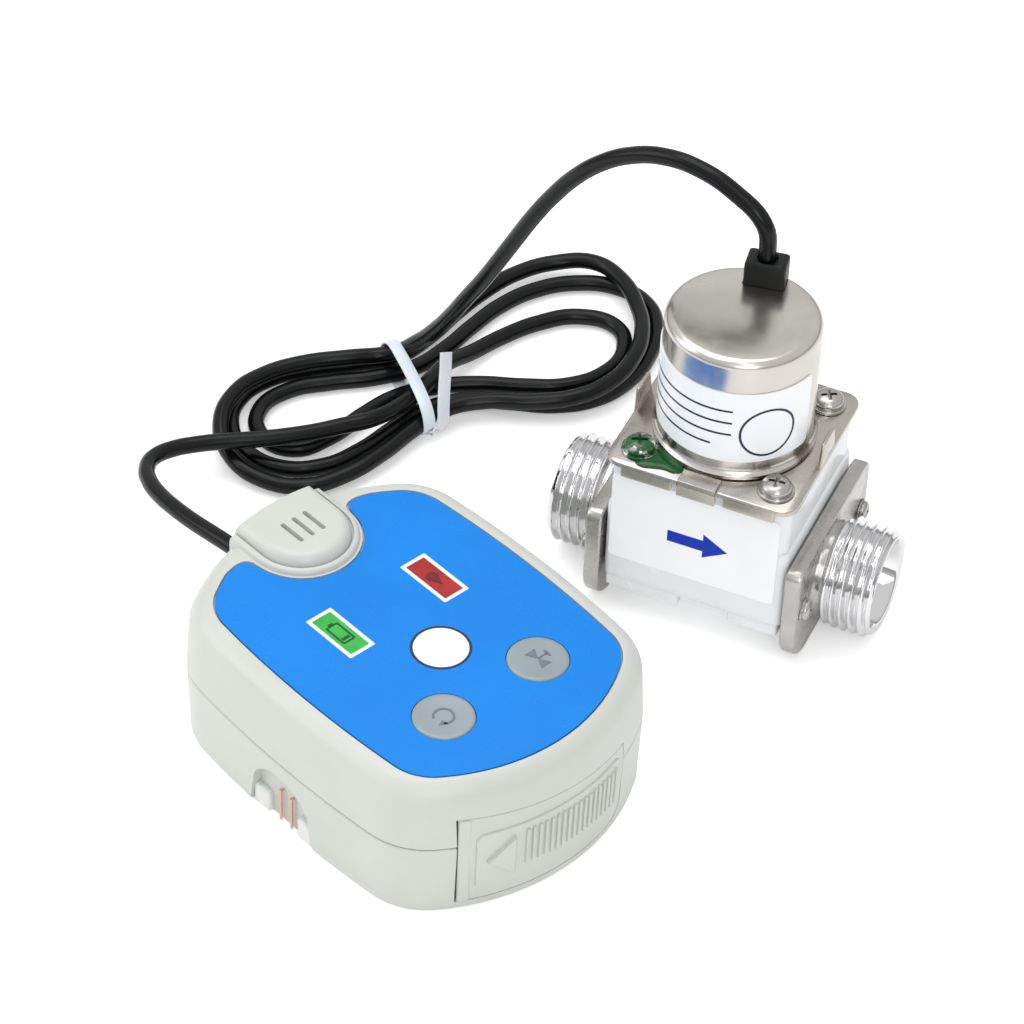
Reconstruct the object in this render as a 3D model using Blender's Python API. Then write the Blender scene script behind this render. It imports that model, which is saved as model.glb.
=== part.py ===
"""Water leak sensor with its cable and its G1/2 shut-off valve, in metres, +Z up."""

import math

import bmesh
import bpy
from mathutils import Matrix, Vector

MM = 0.001

# Clearances
GAP = 0.3 * MM
TINY = 0.05 * MM

# Places of the two units in the shared frame
VALVE_PLACE = (20.886 * MM, 41.118 * MM, 0.0)
SENSOR_PLACE = (-11.994 * MM, -23.192 * MM, 0.0)
SENSOR_TURN = math.radians(-24.0)

# Sensor case outline, three arcs a quadrant
CASE_HALF_LENGTH = 39.82 * MM
CASE_HALF_WIDTH = 30.63 * MM
SIDE_RADIUS = 228.0 * MM
END_RADIUS = 41.8 * MM
CORNER_RADIUS = 14.2 * MM
ARC_STEPS = (3, 5, 2)

# Sensor case heights
PARTING_Z = 15.26 * MM
SHOULDER_Z = 24.3 * MM
FACE_Z = 28.6 * MM
WALL = 2.0 * MM
FLOOR = 2.0 * MM
CEILING_Z = 26.1 * MM
RECESS_Z = 27.9 * MM

# Overlay on the face
OVERLAY_SIDE_INSET = 5.22 * MM
OVERLAY_END_INSET = 4.47 * MM
OVERLAY_SHIFT = 0.53 * MM
OVERLAY_GROOVE = 0.5 * MM

# Hood over the sounder
HOOD_CENTRE = 9.82 * MM - CASE_HALF_LENGTH
HOOD_RIM = 10.2 * MM
HOOD_TONGUE = 8.8 * MM
HOOD_TOP_Z = 31.3 * MM
SLOT_LENGTH = 5.8 * MM
SLOT_WIDTH = 0.9 * MM
SLOT_PITCH = 2.5 * MM
SLOT_CENTRE = HOOD_CENTRE + 0.3 * MM

# Windows and buttons on the face
WINDOW_LENGTH = 11.5 * MM
WINDOW_WIDTH = 5.25 * MM
WINDOW_Z = (26.9 * MM, 28.7 * MM)
ROW_Q = 10.68 * MM
BUTTON_P = CASE_HALF_LENGTH - 20.35 * MM
WINDOW_P = BUTTON_P - 26.58 * MM
BUTTON_RADIUS = 5.5 * MM
BUTTON_TRAVEL = 0.5 * MM

# Battery door in the end wall
DOOR_LOW_Q = -20.4 * MM
DOOR_HIGH_Q = 14.9 * MM
DOOR_BOTTOM_Z = 2.0 * MM
DOOR_TOP_LOW_Z = 21.5 * MM
DOOR_TOP_HIGH_Z = 18.8 * MM
DOOR_CORNER = 4.0 * MM
DOOR_WALL = 1.7 * MM
DOOR_REACH = 11.0 * MM
DOOR_PANEL_Q = (-17.6 * MM, 13.6 * MM)
DOOR_PANEL_Z = (4.5 * MM, 17.5 * MM)
PANEL_PROUD = 0.35 * MM
RIB_PROUD = 0.35 * MM
RIB_COUNT = 18
RIB_FIRST_Q = -9.1 * MM
RIB_PITCH = 1.22 * MM
RIB_WIDTH = 0.6 * MM
RIB_Z = (7.6 * MM, 16.0 * MM)
MARK_TIP_Q = -15.7 * MM
MARK_LENGTH = 4.6 * MM
MARK_HALF_HEIGHT = 4.2 * MM
MARK_Z = 11.1 * MM

# Batteries and their tray
CELL_RADIUS = 5.25 * MM
CELL_LENGTH = 44.5 * MM
CELL_PITCH = 10.8 * MM
CELL_END = CASE_HALF_LENGTH - 9.82 * MM
CELL_START = CELL_END - CELL_LENGTH
CELL_Q = 0.5 * (DOOR_LOW_Q + DOOR_HIGH_Q)
TRAY_WALL = 1.0 * MM
TRAY_SPARE = 0.2 * MM
TRAY_BEHIND = 3.0 * MM
TRAY_TOP_Z = 17.7 * MM
CONTACT_GAP = 0.7 * MM
CONTACT_THICK = 0.8 * MM
CONTACT_Z = (5.0 * MM, 13.0 * MM)

# Circuit board and what stands on it
BOARD_Z = 18.0 * MM
BOARD_THICK = 1.6 * MM
PART_Z = BOARD_Z + BOARD_THICK + GAP
BUZZER_P = HOOD_CENTRE + 0.8 * MM
BUZZER_RADIUS = 5.8 * MM
BUZZER_TOP_Z = 25.3 * MM
BOARD_INSET = 6.0 * MM
LED_RADIUS = 2.45 * MM
LED_TOP_Z = 26.2 * MM
SWITCH_HALF = 3.0 * MM
SWITCH_TOP_Z = 24.1 * MM

# Leak probe in the side wall
ARCH_HALF_WIDTH = 8.0 * MM
ARCH_TOP_Z = 12.0 * MM
PIN_RADIUS = 0.45 * MM
PIN_P = (-1.05 * MM, 1.8 * MM)
PIN_Z = 7.2 * MM
PIN_BEND = 0.9 * MM
BLOCK_Q = WALL + 1.03 * MM - CASE_HALF_WIDTH
BLOCK_THICK = 2.0 * MM
BLOCK_HALF = 9.6 * MM
BLOCK_TOP_Z = ARCH_TOP_Z + 2.0 * MM

# Case screws
POST_P = CASE_HALF_LENGTH - 18.82 * MM
POST_Q = 24.2 * MM
POST_RADIUS = 3.0 * MM
CASE_SCREW_RADIUS = 0.95 * MM

# Cable
CABLE_RADIUS = 2.2 * MM
GLAND_Q = -1.5 * MM
GLAND_Z = PARTING_Z
GLAND_HOLE = 3.6 * MM
GLAND_P = 0.32 * MM - CASE_HALF_LENGTH
GLAND_PROUD = 2.2 * MM

# Valve body and its end fittings
AXIS_Z = 10.48 * MM
BODY_HALF_LENGTH = 16.9 * MM
BODY_HALF_WIDTH = 16.9 * MM
BODY_END = 17.3 * MM
BODY_TOP_Z = 34.69 * MM
THREAD_RADIUS = 10.4775 * MM
THREAD_ROOT = 9.4 * MM
THREAD_PITCH = 1.814 * MM
THREAD_END = 31.4 * MM
PORT_RADIUS = 8.0 * MM
FLANGE_FACE = 20.6 * MM
FLANGE_THICK = 3.0 * MM
FLANGE_HALF_WIDTH = 18.0 * MM
FLANGE_BOTTOM_Z = 0.2 * MM
FLANGE_TOP_Z = 22.4 * MM
FLANGE_SCREW_V = 14.7 * MM
FLANGE_SCREW_Z = 12.4 * MM
FLANGE_SCREW_RADIUS = 1.1 * MM
BORE_RADIUS = 6.6 * MM
SEAL_RADII = (7.9 * MM, 9.1 * MM)
SEAL_DEPTH = 1.1 * MM

# Cover plate, coil can and what they hold
PLATE_Z = BODY_TOP_Z + GAP
PLATE_TOP_Z = PLATE_Z + 1.2 * MM
PLATE_HALF = 18.0 * MM
PLATE_CORNER = 3.2 * MM
SHEET = 0.8 * MM
COVER_SCREW_U = 12.95 * MM
COVER_SCREW_V = 13.05 * MM
COVER_SCREW_RADIUS = 1.6 * MM
CAN_RADIUS = 13.98 * MM
CAN_TOP_Z = PLATE_TOP_Z + 24.85 * MM
CAN_FILLET = 3.5 * MM
CORE_RADIUS = 4.4 * MM
PLUNGER_TRAVEL = 1.5 * MM
SEAT_Z = 27.7 * MM
RELIEF_Z = CAN_TOP_Z + 4.96 * MM
RELIEF_PLACE = (0.4 * MM, 10.05 * MM)
RELIEF_HALF = (4.3 * MM, 3.05 * MM)
CAN_LABEL_Z = (40.2 * MM, 55.6 * MM)
LABEL_THICK = 0.15 * MM
FLOW_LABEL_HALF = 15.4 * MM
FLOW_LABEL_Z = (13.4 * MM, 32.7 * MM)
DIAPHRAGM_RADIUS = 13.2 * MM
BOBBIN_RADIUS = 12.7 * MM
BOBBIN_HEIGHT = 20.1 * MM
BOBBIN_FLANGE = 1.2 * MM
BOBBIN_WALL = 1.2 * MM
CORE_TOP_Z = PLATE_TOP_Z + BOBBIN_HEIGHT - 0.29 * MM
CORE_WALL = 0.6 * MM
PLUNGER_BOTTOM_Z = SEAT_Z + 2.0 * MM
PLUNGER_TOP_Z = 44.0 * MM
SPRING_WIRE = 0.25 * MM
SPRING_TURNS = 5

# Cable hank
HANK_CENTRE = (-50.1 * MM, 66.1 * MM)
HANK_TURN = math.radians(52.0)
HANK_HALF_LENGTH = 48.0 * MM
HANK_LEFT_RADIUS = 15.0 * MM
HANK_RIGHT_RADIUS = 21.0 * MM
HANK_RIGHT_SHIFT = -3.4 * MM
HANK_WAIST = 9.6 * MM
HANK_Z = 0.9 * MM
HANK_TOP_Z = 10.5 * MM
TIE_PLACE = -4.6 * MM
TIE_HALF_WIDTH = 2.2 * MM


def clear_scene():
    for obj in list(bpy.data.objects):
        bpy.data.objects.remove(obj, do_unlink=True)


def material(name, colour, metallic, roughness, alpha=1.0):
    made = bpy.data.materials.new(name)
    made.use_nodes = True
    shader = made.node_tree.nodes["Principled BSDF"]
    shader.inputs["Base Color"].default_value = (*colour, 1.0)
    shader.inputs["Metallic"].default_value = metallic
    shader.inputs["Roughness"].default_value = roughness
    shader.inputs["Alpha"].default_value = alpha
    made.diffuse_color = (*colour, alpha)
    return made


def solid(name, points, faces):
    mesh = bpy.data.meshes.new(name)
    mesh.from_pydata([tuple(point) for point in points], [], faces)
    work = bmesh.new()
    work.from_mesh(mesh)
    bmesh.ops.recalc_face_normals(work, faces=work.faces)
    work.to_mesh(mesh)
    work.free()
    obj = bpy.data.objects.new(name, mesh)
    bpy.context.scene.collection.objects.link(obj)
    return obj


def loft(name, rings, ring_closed=False):
    """A closed body through rings of equal length, with flat ends or, if ring_closed, joined end to end."""
    count = len(rings[0])
    points = [point for ring in rings for point in ring]
    faces = []
    last = len(rings) if ring_closed else len(rings) - 1
    for row in range(last):
        low = row * count
        high = ((row + 1) % len(rings)) * count
        for step in range(count):
            after = (step + 1) % count
            faces.append((low + step, low + after, high + after, high + step))
    if not ring_closed:
        faces.append(tuple(reversed(range(count))))
        faces.append(tuple(range((len(rings) - 1) * count, len(rings) * count)))
    return solid(name, points, faces)


def prism(name, outline, low, high):
    return loft(name, [[(x, y, low) for x, y in outline], [(x, y, high) for x, y in outline]])


def turned(name, profile, steps=32):
    """A body turned about Z from (radius, height) points; it may start and end on the axis."""
    points = []
    rows = []
    for radius, height in profile:
        if radius == 0.0:
            rows.append([len(points)] * steps)
            points.append((0.0, 0.0, height))
            continue
        rows.append(list(range(len(points), len(points) + steps)))
        for step in range(steps):
            angle = 2.0 * math.pi * step / steps
            points.append((radius * math.cos(angle), radius * math.sin(angle), height))
    faces = []
    on_axis = profile[0][0] == 0.0 and profile[-1][0] == 0.0
    last = len(rows) - 1 if on_axis else len(rows)
    for row in range(last):
        low = rows[row]
        high = rows[(row + 1) % len(rows)]
        for step in range(steps):
            after = (step + 1) % steps
            corners = [low[step], low[after], high[after], high[step]]
            face = [corner for place, corner in enumerate(corners) if corner not in corners[:place]]
            if len(face) > 2:
                faces.append(tuple(face))
    return solid(name, points, faces)


def box(name, low, high):
    outline = [(low[0], low[1]), (high[0], low[1]), (high[0], high[1]), (low[0], high[1])]
    return prism(name, outline, low[2], high[2])


def rod(name, radius, low, high, steps=24):
    return turned(name, [(0.0, low), (radius, low), (radius, high), (0.0, high)], steps)


def moved(obj, place=(0.0, 0.0, 0.0), turn=None):
    matrix = Matrix.Translation(Vector(place))
    if turn is not None:
        matrix = matrix @ turn
    obj.data.transform(matrix)
    return obj


def combine(obj, other, operation):
    modifier = obj.modifiers.new(operation.lower(), "BOOLEAN")
    modifier.operation = operation
    modifier.solver = "EXACT"
    modifier.object = other
    bpy.context.view_layer.update()
    graph = bpy.context.evaluated_depsgraph_get()
    mesh = bpy.data.meshes.new_from_object(obj.evaluated_get(graph))
    obj.modifiers.clear()
    mesh.name = obj.name
    obj.data = mesh
    bpy.data.objects.remove(other, do_unlink=True)
    return obj


def cut(obj, other):
    return combine(obj, other, "DIFFERENCE")


def join(obj, other):
    return combine(obj, other, "UNION")


def rounded(half_x, half_y, radius, steps=5, centre=(0.0, 0.0)):
    outline = []
    for corner, (sign_x, sign_y) in enumerate(((1, 1), (-1, 1), (-1, -1), (1, -1))):
        for step in range(steps + 1):
            angle = math.radians(90.0 * corner + 90.0 * step / steps)
            outline.append(
                (
                    centre[0] + sign_x * (half_x - radius) + radius * math.cos(angle),
                    centre[1] + sign_y * (half_y - radius) + radius * math.sin(angle),
                )
            )
    return outline


def oval(inset=0.0):
    """The case outline, moved in by the inset, from the middle of one end round to it again."""
    side_centre = Vector((0.0, CASE_HALF_WIDTH - SIDE_RADIUS))
    end_centre = Vector((CASE_HALF_LENGTH - END_RADIUS, 0.0))
    from_side = SIDE_RADIUS - CORNER_RADIUS
    from_end = END_RADIUS - CORNER_RADIUS
    across = (end_centre - side_centre).length
    along = (from_side**2 - from_end**2 + across**2) / (2.0 * across)
    height = math.sqrt(from_side**2 - along**2)
    unit = (end_centre - side_centre) / across
    corner_centre = side_centre + along * unit + height * Vector((unit.y, -unit.x))
    first = math.atan2(corner_centre.y - end_centre.y, corner_centre.x - end_centre.x)
    second = math.atan2(corner_centre.y - side_centre.y, corner_centre.x - side_centre.x)
    arcs = (
        (end_centre, END_RADIUS, 0.0, first),
        (corner_centre, CORNER_RADIUS, first, second),
        (side_centre, SIDE_RADIUS, second, 0.5 * math.pi),
    )
    quarter = []
    for (centre, radius, start, stop), steps in zip(arcs, ARC_STEPS):
        for step in range(steps):
            angle = start + (stop - start) * step / steps
            quarter.append(
                (
                    centre.x + (radius - inset) * math.cos(angle),
                    centre.y + (radius - inset) * math.sin(angle),
                )
            )
    top = (0.0, CASE_HALF_WIDTH - inset)
    half = quarter + [top] + [(-x, y) for x, y in reversed(quarter)]
    return half + [(x, -y) for x, y in reversed(half[1:-1])]


def ring(inset, height):
    return [(x, y, height) for x, y in oval(inset)]


def overlay_outline(spare=0.0):
    stretch = CASE_HALF_LENGTH - OVERLAY_END_INSET + spare
    stretch /= CASE_HALF_LENGTH - OVERLAY_SIDE_INSET + spare
    return [(OVERLAY_SHIFT + x * stretch, y) for x, y in oval(OVERLAY_SIDE_INSET - spare)]


def hood_outline(radius, rear_inset):
    """A tongue, round towards the middle of the case, with its rear edge on the case outline."""
    outline = []
    for step in range(11):
        angle = math.radians(-90.0 + 180.0 * step / 10)
        outline.append((HOOD_CENTRE + radius * math.cos(angle), radius * math.sin(angle)))
    rear = END_RADIUS - rear_inset
    centre = END_RADIUS - CASE_HALF_LENGTH
    for step in range(6):
        across = radius - 2.0 * radius * step / 5
        outline.append((centre - math.sqrt(rear**2 - across**2), across))
    return outline


def band(name, outer, thick):
    """A wall that follows the case outline through (height, inset) points."""
    rings = [ring(inset, height) for height, inset in outer]
    rings += [ring(inset + thick, height) for height, inset in reversed(outer)]
    return loft(name, rings, ring_closed=True)


def door_prism(name, spare):
    """The door outline with some spare all round, drawn across the end wall."""
    low = DOOR_LOW_Q - spare
    high = DOOR_HIGH_Q + spare
    bottom = DOOR_BOTTOM_Z - spare
    outline = [(low, bottom)]
    for step in range(6):
        angle = math.radians(-90.0 + 90.0 * step / 5)
        outline.append(
            (
                high - DOOR_CORNER + DOOR_CORNER * math.cos(angle),
                bottom + DOOR_CORNER + DOOR_CORNER * math.sin(angle),
            )
        )
    outline.append((high, DOOR_TOP_HIGH_Z + spare))
    outline.append((low, DOOR_TOP_LOW_Z + spare))
    near = [(CASE_HALF_LENGTH - DOOR_REACH, across, height) for across, height in outline]
    far = [(CASE_HALF_LENGTH + 5.0 * MM, across, height) for across, height in outline]
    return loft(name, [near, far])


def arch_prism(name, spare, low_q, high_q):
    half = ARCH_HALF_WIDTH + spare
    outline = [(-half, -1.0 * MM), (half, -1.0 * MM)]
    for step in range(13):
        angle = math.radians(180.0 * step / 12)
        outline.append(
            (
                half * math.cos(angle),
                ARCH_TOP_Z - ARCH_HALF_WIDTH * 0.85 + half * 0.85 * math.sin(angle),
            )
        )
    near = [(along, low_q, height) for along, height in outline]
    far = [(along, high_q, height) for along, height in outline]
    return loft(name, [near, far])


def tube(name, centres, radius, steps=10):
    """A round bar swept along points, with flat ends square to it."""
    places = [Vector(centre) for centre in centres]
    rings = []
    side = None
    for index, place in enumerate(places):
        before = places[max(index - 1, 0)]
        after = places[min(index + 1, len(places) - 1)]
        ahead = (after - before).normalized()
        if side is None:
            side = ahead.orthogonal().normalized()
        side = (side - ahead * side.dot(ahead)).normalized()
        other = ahead.cross(side)
        circle = []
        for step in range(steps):
            angle = 2.0 * math.pi * step / steps
            circle.append(place + radius * (math.cos(angle) * side + math.sin(angle) * other))
        rings.append(circle)
    return loft(name, rings)


def smooth_path(knots, spacing):
    """Points at an even spacing on a smooth curve through the knots, straight between the two at each end."""
    ends = [Vector(knot) for knot in knots]
    dense = []
    for index in range(1, len(ends) - 2):
        a, b, c, d = ends[index - 1 : index + 3]
        for step in range(40):
            t = step / 40.0
            dense.append(
                0.5
                * (
                    2.0 * b
                    + (c - a) * t
                    + (2.0 * a - 5.0 * b + 4.0 * c - d) * t**2
                    + (3.0 * b - a - 3.0 * c + d) * t**3
                )
            )
    dense.append(ends[-2])
    lengths = [0.0]
    for before, after in zip(dense, dense[1:]):
        lengths.append(lengths[-1] + (after - before).length)
    count = max(2, round(lengths[-1] / spacing))
    found = [ends[0]]
    index = 0
    for step in range(count + 1):
        target = lengths[-1] * step / count
        while index < len(lengths) - 2 and lengths[index + 1] < target:
            index += 1
        share = (target - lengths[index]) / (lengths[index + 1] - lengths[index])
        found.append(dense[index].lerp(dense[index + 1], share))
    return found + [ends[-1]]


# Sensor case
def upper_case():
    outer = [
        ring(0.0, PARTING_Z + 0.5 * GAP),
        ring(0.6 * MM, SHOULDER_Z),
        ring(0.95 * MM, 25.9 * MM),
        ring(1.75 * MM, 27.3 * MM),
        ring(2.9 * MM, 28.25 * MM),
        ring(4.1 * MM, FACE_Z),
    ]
    inner = [
        ring(0.6 * MM + WALL + 1.6 * MM, CEILING_Z),
        ring(0.6 * MM + WALL, SHOULDER_Z),
        ring(WALL, PARTING_Z + 0.5 * GAP),
    ]
    case = loft("upper_case", list(reversed(outer)) + list(reversed(inner)))
    obj = case
    rim = loft(
        "rim",
        [
            [(x, y, 25.2 * MM) for x, y in hood_outline(HOOD_RIM, 0.95 * MM)],
            [(x, y, 29.2 * MM) for x, y in hood_outline(HOOD_RIM, 1.3 * MM)],
            [(x, y, 29.65 * MM) for x, y in hood_outline(HOOD_RIM - 0.5 * MM, 1.9 * MM)],
        ],
    )
    tongue = loft(
        "tongue",
        [
            [(x, y, 25.4 * MM) for x, y in hood_outline(HOOD_TONGUE, 1.05 * MM)],
            [(x, y, 30.3 * MM) for x, y in hood_outline(HOOD_TONGUE - 0.2 * MM, 1.15 * MM)],
            [(x, y, 31.0 * MM) for x, y in hood_outline(HOOD_TONGUE - 0.6 * MM, 1.6 * MM)],
            [(x, y, HOOD_TOP_Z) for x, y in hood_outline(HOOD_TONGUE - 1.3 * MM, 2.4 * MM)],
        ],
    )
    recess = prism("recess", overlay_outline(OVERLAY_GROOVE), RECESS_Z, 33.0 * MM)
    keep = prism("keep", hood_outline(HOOD_RIM + 0.35 * MM, -1.0 * MM), 27.0 * MM, 34.0 * MM)
    cut(obj, cut(recess, keep))
    join(obj, rim)
    join(obj, tongue)
    pocket = rod("pocket", BUZZER_RADIUS + 1.0 * MM, 24.0 * MM, HOOD_TOP_Z - 1.9 * MM, 20)
    cut(obj, moved(pocket, (BUZZER_P, 0.0, 0.0)))
    for place in (-1, 0, 1):
        low = (SLOT_CENTRE - 0.5 * SLOT_LENGTH, place * SLOT_PITCH - 0.5 * SLOT_WIDTH, 28.0 * MM)
        high = (SLOT_CENTRE + 0.5 * SLOT_LENGTH, place * SLOT_PITCH + 0.5 * SLOT_WIDTH, 33.0 * MM)
        cut(obj, box("slot", low, high))
    for sign in (-1, 1):
        half = (0.5 * WINDOW_LENGTH + GAP, 0.5 * WINDOW_WIDTH + GAP)
        low = (WINDOW_P - half[0], sign * ROW_Q - half[1], 25.0 * MM)
        high = (WINDOW_P + half[0], sign * ROW_Q + half[1], 30.0 * MM)
        cut(obj, box("window_hole", low, high))
        hole = rod("button_hole", BUTTON_RADIUS + GAP, 25.0 * MM, 30.0 * MM, 20)
        cut(obj, moved(hole, (BUTTON_P, sign * ROW_Q, 0.0)))
        for end in (-1, 1):
            post = rod("post", POST_RADIUS - 0.4 * MM, PARTING_Z - 0.16 * MM, CEILING_Z + GAP, 12)
            join(obj, moved(post, (end * POST_P, sign * POST_Q, 0.0)))
            top = PARTING_Z + 7.24 * MM
            pilot = rod("pilot", CASE_SCREW_RADIUS + GAP, PARTING_Z - 1.26 * MM, top, 8)
            cut(obj, moved(pilot, (end * POST_P, sign * POST_Q, 0.0)))
    cut(obj, door_prism("door_hole", GAP))
    cut(obj, gland_hole())
    return obj


def gland_hole():
    hole = rod("gland_hole", GLAND_HOLE, -8.0 * MM, 8.0 * MM, 20)
    turn = Matrix.Rotation(0.5 * math.pi, 4, "Y")
    return moved(hole, (GLAND_P, GLAND_Q, GLAND_Z), turn)


def lower_case():
    obj = loft(
        "lower_case",
        [
            ring(1.1 * MM, 0.0),
            ring(0.45 * MM, 0.8 * MM),
            ring(0.0, PARTING_Z - 0.5 * GAP),
            ring(WALL, PARTING_Z - 0.5 * GAP),
            ring(WALL + 0.4 * MM, FLOOR),
        ],
    )
    for sign in (-1, 1):
        for end in (-1, 1):
            place = (end * POST_P, sign * POST_Q, 0.0)
            boss = rod("boss", POST_RADIUS, 1.0 * MM, PARTING_Z - 0.46 * MM, 12)
            join(obj, moved(boss, place))
            cut(obj, moved(rod("bore", CASE_SCREW_RADIUS + GAP, -1.0 * MM, PARTING_Z + 1.0 * MM, 8), place))
            cut(obj, moved(rod("sink", 2.6 * MM, -1.0 * MM, 2.9 * MM, 12), place))
    cut(obj, arch_prism("arch", 0.0, -CASE_HALF_WIDTH - 2.0 * MM, BLOCK_Q + 0.4 * MM))
    cut(obj, door_prism("door_hole", GAP))
    cut(obj, gland_hole())
    return obj


def battery_door():
    obj = band(
        "battery_door",
        [(1.0 * MM, 0.44 * MM), (PARTING_Z, 0.0), (SHOULDER_Z, 0.6 * MM)],
        DOOR_WALL,
    )
    combine(obj, door_prism("door_shape", 0.0), "INTERSECT")
    join(obj, raised("panel", [panel_outline()], PANEL_PROUD))
    details = [mark_outline()]
    for step in range(RIB_COUNT):
        low_q = RIB_FIRST_Q + step * RIB_PITCH
        details.append(upright(low_q, low_q + RIB_WIDTH, *RIB_Z))
    join(obj, raised("ribs", details, PANEL_PROUD + RIB_PROUD))
    for across in (CELL_Q - 7.25 * MM, CELL_Q + 7.75 * MM):
        end = wall_p(across) - 1.2 * MM
        low = (CELL_END + 1.8 * MM, across - 0.6 * MM, 6.0 * MM)
        join(obj, box("stop", low, (end, across + 0.6 * MM, 12.0 * MM)))
    return obj


def wall_p(across):
    """Where the outside of the end wall stands at this place across it."""
    return CASE_HALF_LENGTH - END_RADIUS + math.sqrt(END_RADIUS**2 - across**2)


def upright(low_q, high_q, low_z, high_z):
    return [(low_q, low_z), (high_q, low_z), (high_q, high_z), (low_q, high_z)]


def panel_outline():
    return upright(*DOOR_PANEL_Q, *DOOR_PANEL_Z)


def mark_outline():
    base = MARK_TIP_Q + MARK_LENGTH
    low = (base, MARK_Z - MARK_HALF_HEIGHT)
    return [(MARK_TIP_Q, MARK_Z), low, (base, MARK_Z + MARK_HALF_HEIGHT)]


def raised(name, outlines, proud):
    """Flat-sided forms that stand proud of the end wall and follow its curve."""
    skin = band(name, [(3.0 * MM, 0.3 * MM - proud), (PARTING_Z, -proud), (20.0 * MM, 0.3 * MM - proud)], 0.9 * MM)
    forms = None
    for outline in outlines:
        near = [(CASE_HALF_LENGTH - DOOR_REACH, across, height) for across, height in outline]
        far = [(CASE_HALF_LENGTH + 5.0 * MM, across, height) for across, height in outline]
        form = loft("form", [near, far])
        if forms is None:
            forms = form
        else:
            with bpy.context.temp_override(active_object=forms, selected_editable_objects=[forms, form]):
                bpy.ops.object.join()
    return combine(skin, forms, "INTERSECT")


def overlay_label():
    obj = prism("overlay_label", overlay_outline(0.0), RECESS_Z + GAP, FACE_Z)
    keep = prism("keep", hood_outline(HOOD_RIM + 0.75 * MM, -1.0 * MM), 27.0 * MM, 30.0 * MM)
    cut(obj, keep)
    for sign in (-1, 1):
        half = (0.5 * WINDOW_LENGTH + GAP, 0.5 * WINDOW_WIDTH + GAP)
        low = (WINDOW_P - half[0], sign * ROW_Q - half[1], 27.0 * MM)
        high = (WINDOW_P + half[0], sign * ROW_Q + half[1], 30.0 * MM)
        cut(obj, box("window_hole", low, high))
        hole = rod("button_hole", BUTTON_RADIUS + GAP, 27.0 * MM, 30.0 * MM, 20)
        cut(obj, moved(hole, (BUTTON_P, sign * ROW_Q, 0.0)))
    return obj


def window(name, sign):
    low = (WINDOW_P - 0.5 * WINDOW_LENGTH, sign * ROW_Q - 0.5 * WINDOW_WIDTH, WINDOW_Z[0])
    high = (WINDOW_P + 0.5 * WINDOW_LENGTH, sign * ROW_Q + 0.5 * WINDOW_WIDTH, WINDOW_Z[1])
    return box(name, low, high)


def button(name, sign):
    obj = turned(
        name,
        [
            (0.0, SWITCH_TOP_Z + 2.0 * GAP),
            (1.6 * MM, SWITCH_TOP_Z + 2.0 * GAP),
            (1.6 * MM, 27.2 * MM),
            (BUTTON_RADIUS, 27.2 * MM),
            (BUTTON_RADIUS, FACE_Z),
            (BUTTON_RADIUS - 0.5 * MM, FACE_Z + 0.2 * MM),
            (0.0, FACE_Z + 0.25 * MM),
        ],
        20,
    )
    return moved(obj, (BUTTON_P, sign * ROW_Q, 0.0))


# Inside the sensor
def circuit_board():
    low_p = BUZZER_P - BUZZER_RADIUS - 0.5 * MM
    high_p = BOARD_INSET + 2.0 * MM
    outline = [(min(max(x, low_p), CASE_HALF_LENGTH - high_p), y) for x, y in oval(BOARD_INSET)]
    clean = [point for index, point in enumerate(outline) if point != outline[index - 1]]
    obj = prism("circuit_board", clean, BOARD_Z, BOARD_Z + BOARD_THICK)
    for sign in (-1, 1):
        for end in (-1, 1):
            hole = rod("hole", POST_RADIUS, BOARD_Z - 1.0 * MM, BOARD_Z + 3.0 * MM, 12)
            cut(obj, moved(hole, (end * POST_P, sign * POST_Q, 0.0)))
    return obj


def buzzer():
    obj = turned(
        "buzzer",
        [
            (0.0, PART_Z),
            (BUZZER_RADIUS, PART_Z),
            (BUZZER_RADIUS, BUZZER_TOP_Z),
            (1.2 * MM, BUZZER_TOP_Z),
            (1.2 * MM, BUZZER_TOP_Z - 1.1 * MM),
            (0.0, BUZZER_TOP_Z - 1.1 * MM),
        ],
        20,
    )
    return moved(obj, (BUZZER_P, 0.0, 0.0))


def led(name, sign):
    obj = turned(
        name,
        [
            (0.0, PART_Z),
            (LED_RADIUS + 0.45 * MM, PART_Z),
            (LED_RADIUS + 0.45 * MM, PART_Z + 1.0 * MM),
            (LED_RADIUS, PART_Z + 1.0 * MM),
            (LED_RADIUS, LED_TOP_Z - 2.2 * MM),
            (0.73 * LED_RADIUS, LED_TOP_Z - 0.7 * MM),
            (0.0, LED_TOP_Z),
        ],
        12,
    )
    return moved(obj, (WINDOW_P, sign * ROW_Q, 0.0))


def switch(name, sign):
    low = (BUTTON_P - SWITCH_HALF, sign * ROW_Q - SWITCH_HALF, PART_Z)
    high = (BUTTON_P + SWITCH_HALF, sign * ROW_Q + SWITCH_HALF, SWITCH_TOP_Z - 0.9 * MM)
    obj = box(name, low, high)
    top = rod("top", 1.7 * MM, SWITCH_TOP_Z - 1.6 * MM, SWITCH_TOP_Z, 12)
    return join(obj, moved(top, (BUTTON_P, sign * ROW_Q, 0.0)))


def battery_cradle():
    half = 1.5 * CELL_PITCH + TRAY_SPARE
    low = (CELL_START - TRAY_BEHIND, CELL_Q - half - TRAY_WALL, FLOOR + GAP)
    high = (CELL_END, CELL_Q + half + TRAY_WALL, TRAY_TOP_Z)
    obj = box("battery_cradle", low, high)
    inner_low = (low[0] + TRAY_WALL, CELL_Q - half, FLOOR + GAP + TRAY_WALL)
    inner_high = (CELL_END + TRAY_BEHIND, CELL_Q + half, TRAY_TOP_Z + TRAY_BEHIND)
    return cut(obj, box("bay", inner_low, inner_high))


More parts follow.
